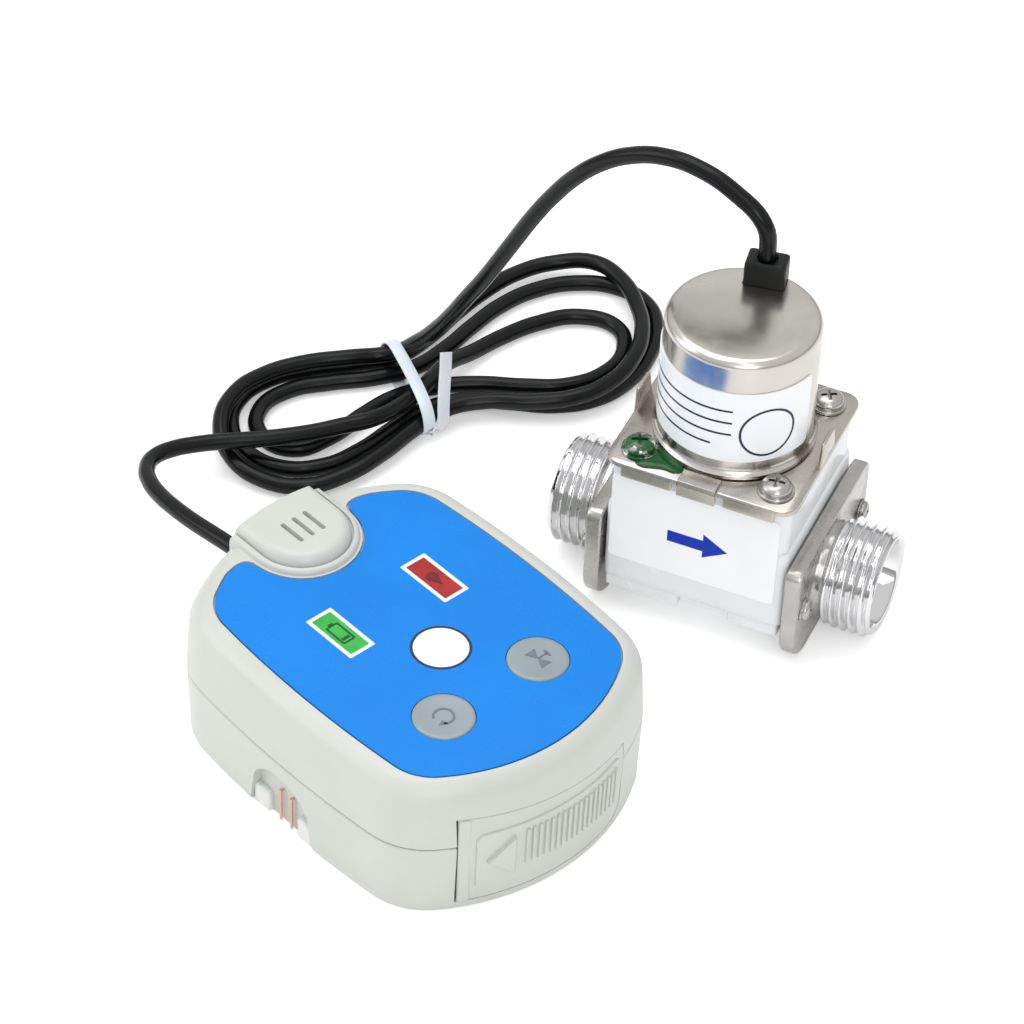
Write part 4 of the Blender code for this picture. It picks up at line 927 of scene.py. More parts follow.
@dataclass
class Cable:
    """The one cable from the sensor through its tied hank to the valve."""

    look: Finishes
    radius: float = 1.6
    route: tuple[Triple, ...] = (
        (-51.0, -7.5, 15.3), (-56.2, -5.3, 14.9), (-61.3, -3.2, 14.3), (-66.3, -0.9, 13.4), (-71.2, 1.7, 12.5),
        (-75.8, 4.7, 11.4), (-79.9, 8.2, 10.4), (-82.7, 12.2, 9.4), (-83.6, 16.5, 8.5), (-82.0, 20.8, 7.8),
        (-78.7, 24.6, 7.3), (-74.4, 28.0, 7.0), (-69.7, 31.1, 6.8), (-65.2, 34.4, 6.7), (-60.9, 38.0, 6.6),
        (-56.9, 41.9, 6.6), (-53.0, 45.9, 6.5), (-49.7, 53.5, 5.8), (-48.5, 61.7, 5.1), (-47.9, 69.7, 4.2),
        (-45.8, 76.9, 2.4), (-42.6, 84.6, 1.8), (-37.9, 91.8, 1.7), (-31.6, 97.0, 1.7), (-24.0, 97.3, 1.7),
        (-19.7, 91.3, 1.7), (-20.4, 83.2, 1.7), (-25.4, 76.7, 1.7), (-32.9, 72.8, 1.7), (-40.9, 69.7, 1.7),
        (-48.1, 65.2, 1.7), (-53.8, 59.0, 1.7), (-57.3, 51.2, 1.7), (-60.0, 43.1, 1.7), (-64.8, 36.9, 1.7),
        (-71.8, 37.8, 1.7), (-75.5, 44.4, 1.7), (-73.1, 51.9, 1.7), (-66.9, 57.5, 1.7), (-59.9, 62.5, 1.7),
        (-54.2, 68.7, 1.7), (-51.2, 76.6, 1.7), (-49.3, 85.0, 1.7), (-46.9, 93.3, 1.7), (-42.8, 100.7, 1.7),
        (-36.5, 106.3, 1.7), (-28.6, 108.7, 1.7), (-21.0, 106.4, 1.7), (-16.3, 99.7, 1.7), (-14.6, 91.5, 1.7),
        (-15.3, 83.0, 1.7), (-18.9, 75.4, 1.7), (-25.3, 70.2, 1.7), (-33.4, 67.3, 1.7), (-41.3, 64.1, 1.7),
        (-47.1, 58.1, 1.7), (-50.3, 50.4, 1.7), (-53.1, 42.2, 1.7), (-57.5, 35.0, 1.7), (-64.5, 31.1, 1.7),
        (-72.5, 32.5, 1.7), (-78.4, 38.0, 1.7), (-80.4, 45.9, 1.7), (-77.7, 53.6, 1.7), (-71.8, 59.7, 1.7),
        (-64.9, 64.8, 1.7), (-58.6, 70.4, 1.7), (-55.5, 78.2, 1.8), (-53.7, 86.7, 2.1), (-51.3, 95.1, 2.4),
        (-47.7, 102.9, 2.7), (-42.0, 108.9, 3.1), (-34.6, 111.0, 4.3), (-27.2, 107.9, 4.6), (-21.2, 101.8, 4.2),
        (-17.3, 94.5, 4.7), (-15.7, 86.4, 5.0), (-16.8, 78.1, 4.9), (-21.3, 71.1, 4.6), (-28.4, 66.6, 4.2),
        (-36.3, 63.4, 3.9), (-42.8, 58.3, 3.4), (-46.1, 50.5, 3.0), (-48.5, 42.2, 2.8), (-52.0, 34.3, 2.5),
        (-57.6, 28.2, 2.1), (-65.5, 26.1, 2.2), (-73.5, 28.5, 3.0), (-79.0, 34.8, 4.3), (-80.3, 43.1, 5.0),
        (-77.8, 50.9, 4.8), (-72.5, 57.4, 4.7), (-65.5, 62.6, 4.7), (-58.4, 67.3, 4.9), (-52.8, 67.0, 10.0),
        (-48.4, 65.5, 15.8), (-44.5, 63.8, 22.0), (-40.9, 62.3, 28.4), (-37.2, 61.2, 34.8), (-33.7, 60.3, 41.4),
        (-30.3, 59.7, 48.0), (-26.8, 59.0, 54.7), (-23.0, 58.4, 61.1), (-18.7, 57.7, 67.2), (-13.6, 57.0, 72.6),
        (-7.6, 56.0, 77.0), (-0.8, 54.8, 79.8), (6.6, 53.4, 80.4), (13.6, 52.3, 78.4), (19.7, 51.3, 74.3),
        (20.8, 51.7, 66.9),
    )  # fmt: skip

    def build(self) -> bpy.types.Object:
        """Lays the cable along its route.

        Returns:
            The cable.
        """
        curve = bpy.data.curves.new("cable", "CURVE")
        curve.dimensions = "3D"
        curve.bevel_depth = self.radius * MM
        curve.bevel_resolution = 6
        curve.resolution_u = 6
        curve.use_fill_caps = True
        spline = curve.splines.new("BEZIER")
        spline.bezier_points.add(len(self.route) - 1)
        for point, place in zip(spline.bezier_points, self.route):
            point.co = Vector(place) * MM
            point.handle_left_type = "AUTO"
            point.handle_right_type = "AUTO"
        cable = bpy.data.objects.new("cable", curve)
        bpy.context.scene.collection.objects.link(cable)
        cable.data.materials.append(self.look.sheath)
        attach(cable, Body.UNIT.value)
        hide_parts("cable_to_sensor", "cable_hank", "cable_to_valve")
        return cable

    def length(self) -> float:
        """Measures the curve.

        Returns:
            Its length in metres.
        """
        points = [Vector(place) * MM for place in self.route]
        ends = [2 * points[0] - points[1], *points, 2 * points[-1] - points[-2]]
        total = 0.0
        for index in range(1, len(ends) - 2):
            a, b, c, d = ends[index - 1 : index + 3]
            last = b
            for step in range(1, 13):
                t = step / 12
                here = between(a, b, c, d, t)
                total += (here - last).length
                last = here
        return total


# Outlines


def rounded(
    half_x: float, half_y: float, radius: float, steps: int = 8, centre: Pair = (0.0, 0.0),
) -> list[Pair]:
    """Draws a rectangle with round corners.

    Args:
        half_x: half its length, in mm.
        half_y: half its width, in mm.
        radius: its corners, in mm.
        steps: points a corner.
        centre: its middle, in mm.

    Returns:
        The outline, counter-clockwise.
    """
    outline = []
    for corner, (sign_x, sign_y) in enumerate(((1, 1), (-1, 1), (-1, -1), (1, -1))):
        for step in range(steps + 1):
            angle = math.radians(90.0 * corner + 90.0 * step / steps)
            x = centre[0] + sign_x * (half_x - radius) + radius * math.cos(angle)
            outline.append((x, centre[1] + sign_y * (half_y - radius) + radius * math.sin(angle)))
    return outline


def lift(outline: Iterable[Pair], height: float) -> list[Triple]:
    """Puts an outline at a height."""
    return [(x, y, height) for x, y in outline]


def slab(name: str, outline: Sequence[Pair], low: float, high: float) -> Work:
    """Extrudes an outline between two heights."""
    return Work.stack(name, [lift(outline, low), lift(outline, high)])


def stroke(points: Sequence[Pair], width: float) -> list[Pair]:
    """Draws a line of some width as an outline.

    Args:
        points: the line's points, in mm.
        width: its width, in mm.

    Returns:
        The outline.
    """
    left, right = [], []
    for index, point in enumerate(points):
        before = Vector(points[max(index - 1, 0)])
        after = Vector(points[min(index + 1, len(points) - 1)])
        ahead = (after - before).normalized()
        side = Vector((-ahead.y, ahead.x)) * 0.5 * width
        left.append((point[0] + side.x, point[1] + side.y))
        right.append((point[0] - side.x, point[1] - side.y))
    return right + left[::-1]


# Sensor


@dataclass
class Sensor:
    """The flat sensor: two case halves, hood, overlay, windows, keys, battery door and probes."""

    look: Finishes
    half_length: float = 39.82
    half_width: float = 30.63
    side_radius: float = 228.0
    end_radius: float = 41.8
    corner_radius: float = 14.2
    parting: float = 15.26
    hood_at: float = -30.0
    row: float = 10.68
    window_at: float = -7.11
    key_at: float = 19.47
    face: float = 28.6
    fine: tuple[int, int, int] = (9, 15, 8)

    def oval(self, inset: float) -> list[Pair]:
        """Draws the case outline, moved in.

        Args:
            inset: how far, in mm.

        Returns:
            The outline, counter-clockwise from the end with the door.
        """
        side = Vector((0.0, self.half_width - self.side_radius))
        end = Vector((self.half_length - self.end_radius, 0.0))
        from_side = self.side_radius - self.corner_radius
        from_end = self.end_radius - self.corner_radius
        across = (end - side).length
        along = (from_side**2 - from_end**2 + across**2) / (2.0 * across)
        height = math.sqrt(from_side**2 - along**2)
        unit = (end - side) / across
        corner = side + along * unit + height * Vector((unit.y, -unit.x))
        first = math.atan2(corner.y - end.y, corner.x - end.x)
        second = math.atan2(corner.y - side.y, corner.x - side.x)
        arcs = (
            (end, self.end_radius, 0.0, first),
            (corner, self.corner_radius, first, second),
            (side, self.side_radius, second, 0.5 * math.pi),
        )
        quarter = []
        for (centre, radius, start, stop), steps in zip(arcs, self.fine):
            for step in range(steps):
                angle = start + (stop - start) * step / steps
                reach = radius - inset
                quarter.append((centre.x + reach * math.cos(angle), centre.y + reach * math.sin(angle)))
        half = [*quarter, (0.0, self.half_width - inset)] + [(-x, y) for x, y in reversed(quarter)]
        return half + [(x, -y) for x, y in reversed(half[1:-1])]

    def face_outline(self, spare: float, hood: float, corner: float) -> list[Pair]:
        """Draws the overlay, which runs round the hood.

        Args:
            spare: how far outside the overlay's edge, in mm.
            hood: how far from the hood's middle it keeps, in mm.
            corner: the rounding beside the hood, in mm.

        Returns:
            The outline.
        """
        stretch = (self.half_length - 4.47 + spare) / (self.half_length - 5.22 + spare)
        outline = [(0.53 + x * stretch, y) for x, y in self.oval(5.22 - spare)]
        upper = [(x, y) for x, y in outline if y > 0.0 and (x > 0.0 or y > hood + 0.4)]
        upper.sort(key=lambda point: math.atan2(point[1], point[0]))
        end = upper[-1]
        reach = 0.0
        start = len(upper) - 1
        while reach < corner:
            reach += math.dist(upper[start], upper[start - 1])
            start -= 1
        first = Vector(upper[start])
        knee = Vector((end[0] - 0.15, hood))
        last = Vector((end[0] + 1.5 * corner, hood))
        side = upper[: start + 1]
        for step in range(1, 9):
            t = step / 8
            point = (1 - t) ** 2 * first + 2 * t * (1 - t) * knee + t**2 * last
            side.append((point.x, point.y))
        arc = []
        for step in range(1, 24):
            angle = math.radians(90.0 - 180.0 * step / 24)
            arc.append((self.hood_at + hood * math.cos(angle), hood * math.sin(angle)))
        tail = [] if last.x >= self.hood_at else [(self.hood_at, hood)]
        lower = [(x, -y) for x, y in reversed(side + tail)]
        return [(0.53 + (self.half_length - 5.22 + spare) * stretch, 0.0)] + side + tail + arc + lower

    def hood(self, radius: float, rear: float) -> list[Pair]:
        """Draws a tongue with its rear on the case outline.

        Args:
            radius: its round front, in mm.
            rear: how far its rear is in from the outline, in mm.

        Returns:
            The outline.
        """
        outline = []
        for step in range(33):
            angle = math.radians(-90.0 + 180.0 * step / 32)
            outline.append((self.hood_at + radius * math.cos(angle), radius * math.sin(angle)))
        reach = self.end_radius - rear
        centre = self.end_radius - self.half_length
        for step in range(13):
            across = radius - 2.0 * radius * step / 12
            outline.append((centre - math.sqrt(reach**2 - across**2), across))
        return outline

    def wall(self, across: float, proud: float, height: float) -> Triple:
        """Wraps a flat place onto the end wall.

        Args:
            across: the place across it, in mm.
            proud: how far it stands proud, in mm.
            height: the height, in mm.

        Returns:
            The place.
        """
        if height < self.parting:
            inset = 0.44 * (self.parting - height) / (self.parting - 1.0)
        else:
            inset = 0.6 * (height - self.parting) / 9.04
        angle = math.asin(across / self.end_radius)
        reach = self.end_radius + proud - inset
        return (self.half_length - self.end_radius + reach * math.cos(angle), reach * math.sin(angle), height)

    def door_outline(self, spare: float) -> list[Pair]:
        """Draws the door across the end wall.

        Args:
            spare: the gap round it, in mm.

        Returns:
            Places across and heights.
        """
        low, high, bottom = -20.4 - spare, 14.9 + spare, 2.0 - spare
        outline = [(low, bottom)]
        for step in range(9):
            angle = math.radians(-90.0 + 90.0 * step / 8)
            outline.append((high - 4.0 + 4.0 * math.cos(angle), bottom + 4.0 + 4.0 * math.sin(angle)))
        return outline + [(high, 18.8 + spare), (low, 21.5 + spare)]

    def door_hole(self, spare: float) -> Work:
        """Makes the tool that opens the wall for the door."""
        outline = self.door_outline(spare)
        return Work.stack(
            "door_hole", [[(28.8, y, z) for y, z in outline], [(45.0, y, z) for y, z in outline]],
        )

    def gland_hole(self) -> Work:
        """Makes the tool that opens the wall for the cable."""
        hole = Work.rod("gland_hole", 3.6, -8.0, 8.0, 48)
        return hole.shift((-39.5, -1.5, self.parting), 90.0, "Y")

    def window_hole(self, spare: float, room: float) -> Work:
        """Makes the tool for both windows and both keys.

        Args:
            spare: how far it goes round a window, in mm.
            room: how far it goes round a key, in mm.

        Returns:
            The tool.
        """
        tools = []
        for sign in (-1, 1):
            outline = rounded(5.75 + spare, 2.625 + spare, 0.35, 3, (self.window_at, sign * self.row))
            tools.append(slab("window_hole", outline, 27.3, 33.0))
            tools.append(Work.rod("key_hole", 5.5 + room, 26.0, 33.0, 64, (self.key_at, sign * self.row)))
        return tools[0].gather(tools[1:])

    def upper_case(self) -> None:
        """Builds the lid: crowned shell, overlay recess, hood rim, tongue and slots."""
        rise = [
            (0.26, 15.36), (0.06, 15.62), (0.32, 20.0), (0.62, 24.3), (0.75, 25.2), (0.98, 25.95),
            (1.33, 26.68),
        ]
        rise += [(1.79, 27.32), (2.35, 27.87), (2.98, 28.27), (3.5, 28.5), (3.9, self.face)]
        rings = [(4.2, 26.1), (2.6, 24.3), (2.0, 15.36), *rise]
        case = Work.stack("upper_case", [lift(self.oval(inset), height) for inset, height in rings])
        case.cut(slab("recess", self.face_outline(0.3, 10.62, 2.45), 27.9, 33.0))
        rim = [
            (10.25, 0.95, 25.2), (10.25, 1.0, 28.3), (10.12, 1.1, 28.95), (9.9, 1.3, 29.35),
            (9.6, 1.6, 29.55), (9.3, 1.9, 29.6),
        ]
        case.fuse(Work.stack("rim", [lift(self.hood(radius, rear), height) for radius, rear, height in rim]))
        case.cut(slab("moat", self.hood(9.1, -1.0), 29.0, 33.0))
        tongue = [
            (8.75, 1.0, 25.4), (8.75, 1.05, 29.2), (8.55, 1.1, 29.9), (8.2, 1.25, 30.5),
            (7.75, 1.6, 30.95),
        ]
        tongue += [(7.2, 2.1, 31.2), (6.6, 2.7, 31.3)]
        rings = [lift(self.hood(radius, rear), height) for radius, rear, height in tongue]
        case.fuse(Work.stack("tongue", rings))
        slots = []
        for place in (-1, 0, 1):
            outline = rounded(2.9, 0.45, 0.44, 5, (self.hood_at + 0.3, 2.5 * place))
            slots.append(slab("slot", outline, 30.2, 33.0))
        case.cut(slots[0].gather(slots[1:]))
        case.cut(self.window_hole(0.14, 0.12))
        case.cut(Work.rod("sounder_room", 6.8, 24.0, 29.4, 48, (-29.2, 0.0)))
        case.cut(self.door_hole(0.1))
        case.cut(self.gland_hole())
        case.finish(self.look.case, Bench.SENSOR, nodes=["upper_case"], slot="case_plastic", smooth=30.0)

    def lower_case(self) -> None:
        """Builds the tray: drafted walls, screw sinks, probe arch and battery opening."""
        rings = [(2.4, 2.0), (2.0, 15.17), (0.26, 15.17), (0.06, 14.9), (0.24, 8.0), (0.44, 1.0), (0.55, 0.5)]
        rings += [(0.75, 0.18), (1.1, 0.0)]
        case = Work.stack("lower_case", [lift(self.oval(inset), height) for inset, height in rings])
        bosses, sinks = [], []
        for sign in (-1, 1):
            for end in (-1, 1):
                at = (21.0 * end, 24.2 * sign)
                bosses.append(Work.rod("boss", 3.0, 1.0, 14.8, 32, at))
                sinks.append(Work.rod("bore", 1.25, 2.0, 16.0, 24, at))
                sinks.append(Work.rod("sink", 2.6, -1.0, 2.9, 32, at))
        case.fuse(bosses[0].gather(bosses[1:]))
        for tool in sinks:
            case.cut(tool)
        outline = [(-8.9, -1.0), (8.9, -1.0), (8.3, 2.0)]
        for step in range(25):
            angle = math.radians(180.0 * step / 24)
            outline.append((7.5 * math.cos(angle), 5.6 + 6.4 * math.sin(angle)))
        outline.append((-8.3, 2.0))
        arch = [[(x, -32.7, z) for x, z in outline], [(x * 0.95, -28.55, min(z, 11.6)) for x, z in outline]]
        case.cut(Work.stack("arch", arch))
        case.cut(self.door_hole(0.1))
        case.cut(self.gland_hole())
        case.finish(self.look.case, Bench.SENSOR, nodes=["lower_case"], slot="case_plastic", smooth=30.0)

    def plate(
        self, name: str, outline: Sequence[Pair], inner: float, outer: float, round_by: float = 0.12,
    ) -> Work:
        """Makes a flat plate in (proud, across, height) with a soft rim.

        Args:
            name: its name.
            outline: places across and heights.
            inner: its back, in mm proud.
            outer: its front, in mm proud.
            round_by: the rim's rounding, in mm.

        Returns:
            The plate, still flat.
        """
        middle = Vector(
            (sum(y for y, _ in outline) / len(outline), sum(z for _, z in outline) / len(outline))
        )
        small = []
        for y, z in outline:
            away = Vector((y, z)) - middle
            moved = [part - math.copysign(min(abs(part), round_by), part) for part in away]
            small.append(tuple(middle + Vector(moved)))
        rings = [[(inner, y, z) for y, z in outline], [(outer - round_by, y, z) for y, z in outline]]
        rings.append([(outer, y, z) for y, z in small])
        return Work.stack(name, rings)

    def battery_door(self) -> None:
        """Builds the sliding door: wall, edge band, panel, arrow mark, grip ribs and catches."""
        door = self.plate("battery_door", self.door_outline(0.0), -1.7, 0.0, 0.1)
        door.slice([-20.0 + 1.3 * step for step in range(27)], (0.0, 1.0, 0.0))
        door.slice([self.parting], (0.0, 0.0, 1.0))
        band = rounded(0.9, 9.6, 0.3, 2, (-19.4, 11.7))
        panel = rounded(15.6, 6.5, 1.6, 6, (-2.0, 11.0))
        parts = [self.plate("band", band, -0.3, 0.3)]
        field = self.plate("panel", panel, -0.3, 0.33)
        parts.append(field.slice([-17.0 + 1.25 * step for step in range(25)], (0.0, 1.0, 0.0)))
        parts.append(self.plate("mark", [(-15.9, 11.1), (-11.1, 6.7), (-11.1, 15.5)], 0.1, 0.95, 0.22))
        rib = self.plate("rib", rounded(0.3, 4.2, 0.28, 4, (0.0, 11.8)), 0.1, 0.68)
        for step in range(18):
            parts.append(rib.copy("rib").shift((0.0, -8.8 + 1.22 * step, 0.0)))
        bpy.data.objects.remove(rib.obj, do_unlink=True)
        for across in (-10.0, 5.0):
            parts.append(
                Work.block("stop", (-8.3, across - 0.6, 6.0), (-1.0, across + 0.6, 12.0)).soften(0.15)
            )
        door.gather(parts)
        door.bend(lambda place: self.wall(place.y, place.x, place.z))
        door.outward()
        door.finish(self.look.case, Bench.SENSOR, Body.DOOR, ["battery_door"], "case_plastic", 30.0)

    def overlay(self) -> None:
        """Builds the printed overlay and what is printed on it."""
        film = slab("overlay_label", self.face_outline(-0.02, 10.95, 2.6), 28.1, 28.58)
        film.cut(self.window_hole(-0.2, 0.03))
        film.finish(self.look.overlay, Bench.SENSOR, nodes=["overlay_label"], slot="overlay_blue")
        disc = Work.spun("overlay_disc", [(0.0, 28.5), (5.0, 28.5), (5.0, 28.6), (0.0, 28.6)], 72)
        disc.shift((6.7, 0.0, 0.0)).finish(self.look.print_white, Bench.SENSOR, slot="overlay_blue")
        edge = Work.spun("overlay_disc_edge", [(4.84, 28.5), (5.32, 28.5), (5.32, 28.62), (4.84, 28.62)], 72)
        edge.shift((6.7, 0.0, 0.0)).finish(self.look.print_dark, Bench.SENSOR, slot="overlay_blue")
        for sign, name in ((1, "leak"), (-1, "battery")):
            at = (self.window_at, sign * self.row)
            frame = slab(f"{name}_window_frame", rounded(5.9, 2.78, 0.2, 2, at), 28.42, 28.61)
            frame.cut(slab("hole", rounded(5.2, 2.08, 0.2, 2, at), 27.0, 30.0))
            frame.finish(self.look.print_white, Bench.SENSOR, slot="overlay_blue")

    def windows(self) -> None:
        """Builds both indicator windows and their icons."""
        for sign, name, look in ((1, "leak_window", self.look.red), (-1, "battery_window", self.look.green)):
            at = (self.window_at, sign * self.row)
            steps = ((5.72, 2.6, 26.9), (5.72, 2.6, 28.02), (5.48, 2.36, 28.02), (5.48, 2.36, 28.5))
            pane = Work.stack(name, [lift(rounded(x, y, 0.3, 4, at), z) for x, y, z in steps])
            pane.finish(look, Bench.SENSOR, nodes=[name], slot="window_red" if sign > 0 else "window_green")
        outline = []
        for step in range(21):
            angle = math.radians(60.0 + 240.0 * step / 20)
            outline.append((1.15 * math.cos(angle) - 0.55, 1.15 * math.sin(angle)))
        outline.append((2.0, 0.0))
        icon = slab("leak_icon", [(x + self.window_at, y + self.row) for x, y in outline], 28.45, 28.55)
        icon.finish(self.look.red_dark, Bench.SENSOR, slot="window_red")
        at = (self.window_at, -self.row)
        cell = slab("battery_icon", rounded(2.5, 1.35, 0.35, 3, at), 28.45, 28.55)
        cell.cut(slab("hole", rounded(2.15, 1.0, 0.2, 3, at), 27.0, 30.0))
        tip = Work.block("tip", (at[0] - 2.95, at[1] - 0.5, 28.45), (at[0] - 2.45, at[1] + 0.5, 28.55))
        bar = Work.block("bar", (at[0] + 1.1, at[1] - 0.8, 28.45), (at[0] + 1.75, at[1] + 0.8, 28.55))
        cell.gather([tip, bar]).finish(self.look.green_dark, Bench.SENSOR, slot="window_green")

    def keys(self) -> None:
        """Builds both press keys and their pictograms."""
        profile = [
            (0.0, 24.7), (1.6, 24.7), (1.6, 27.2), (5.45, 27.2), (5.45, 28.35), (5.36, 28.62),
            (5.15, 28.76),
        ]
        profile += [(4.8, 28.8), (4.2, 28.76), (2.2, 28.7), (0.0, 28.7)]
        for sign, name, body in ((1, "close_button", Body.CLOSE_KEY), (-1, "reset_button", Body.RESET_KEY)):
            key = Work.spun(name, profile, 72).shift((self.key_at, sign * self.row, 0.0))
            key.finish(self.look.key, Bench.SENSOR, body, [name], "button_grey", 40.0)
        left = slab("close_mark", [(-2.1, 1.2), (-2.1, -1.2), (-0.05, 0.0)], 28.6, 28.79)
        right = slab("right", [(2.1, -1.15), (2.1, 1.2), (0.05, 0.0)], 28.6, 28.79)
        stem = slab("stem", rounded(0.16, 1.1, 0.1, 2, (0.0, 1.0)), 28.6, 28.79)
        cap = slab("cap", rounded(0.9, 0.2, 0.15, 2, (0.0, 2.1)), 28.6, 28.79)
        left.gather([right, stem, cap]).shift((self.key_at, self.row, 0.0))
        left.finish(self.look.print_grey, Bench.SENSOR, Body.CLOSE_KEY, slot="button_grey")
        path = []
        for step in range(25):
            angle = math.radians(-40.0 + 285.0 * step / 24)
            path.append((1.75 * math.cos(angle), 1.75 * math.sin(angle)))
        loop = slab("reset_mark", stroke(path, 0.42), 28.6, 28.79)
        head = slab("head", [(0.59, -0.92), (1.96, -0.57), (1.09, -2.07)], 28.6, 28.79)
        loop.gather([head]).shift((self.key_at, -self.row, 0.0))
        loop.finish(self.look.print_grey, Bench.SENSOR, Body.RESET_KEY, slot="button_grey")

    def gland(self) -> None:
        """Builds the rubber sleeve under the hood."""
        profile = [
            (0.0, -3.4), (4.2, -3.4), (4.2, -2.4), (3.3, -2.4), (3.3, 0.6), (4.28, 0.6), (4.28, 1.1),
            (4.1, 1.75),
        ]
        profile += [(3.4, 2.15), (2.3, 2.2), (1.9, 1.9), (0.0, 1.9)]
        sleeve = Work.spun("cable_gland", profile, 48).shift((-39.5, -1.5, self.parting), -90.0, "Y")
        sleeve.finish(self.look.rubber, Bench.SENSOR, nodes=["cable_gland"], slot="black_rubber")

    def inside(self) -> None:
        """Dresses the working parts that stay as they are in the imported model."""
        look = self.look
        dress("circuit_board", look.board)
        for name in ("buzzer", "close_switch", "reset_switch", "battery_cradle"):
            dress(name, look.black)
        dress("leak_led", look.red)
        dress("battery_led", look.green)
        for number in (1, 2, 3):
            dress(f"battery_{number}", look.cell)
        for name in ("contact_rear", "contact_front", *(f"case_screw_{number}" for number in range(1, 5))):
            dress(name, look.steel)
        dress("probe_block", look.milky)
        # Two milky white blocks at the lower sides of the arch stand in for the glare seen there: painted highlight.
        for sign, name in ((-1, "painted_glare_pad_left"), (1, "painted_glare_pad_right")):
            edges = sorted((3.7 * sign, 7.7 * sign))
            pad = Work.block(name, (edges[0], -29.7, 0.1), (edges[1], -28.1, 4.6)).soften(0.5, 3)
            pad.finish(look.milky, Bench.SENSOR, slot="case_plastic")
        for name, across in (("probe_pin_left", -1.05), ("probe_pin_right", 1.8)):
            pin = Work.rod(name, 0.27, 0.3, 7.4, 20, (across, -29.15))
            stem = Work.rod("stem", 0.27, -29.15, -26.2, 20).shift((0.0, 0.0, 0.0), -90.0, "X")
            pin.fuse(stem.shift((across, 0.0, 7.15)))
            pin.finish(look.copper, Bench.SENSOR, nodes=[name], slot="copper")

    def build(self) -> None:
        """Builds the whole sensor."""
        self.upper_case()
        self.lower_case()
        self.battery_door()
        self.overlay()
        self.windows()
        self.keys()
        self.gland()
        self.inside()


# Valve


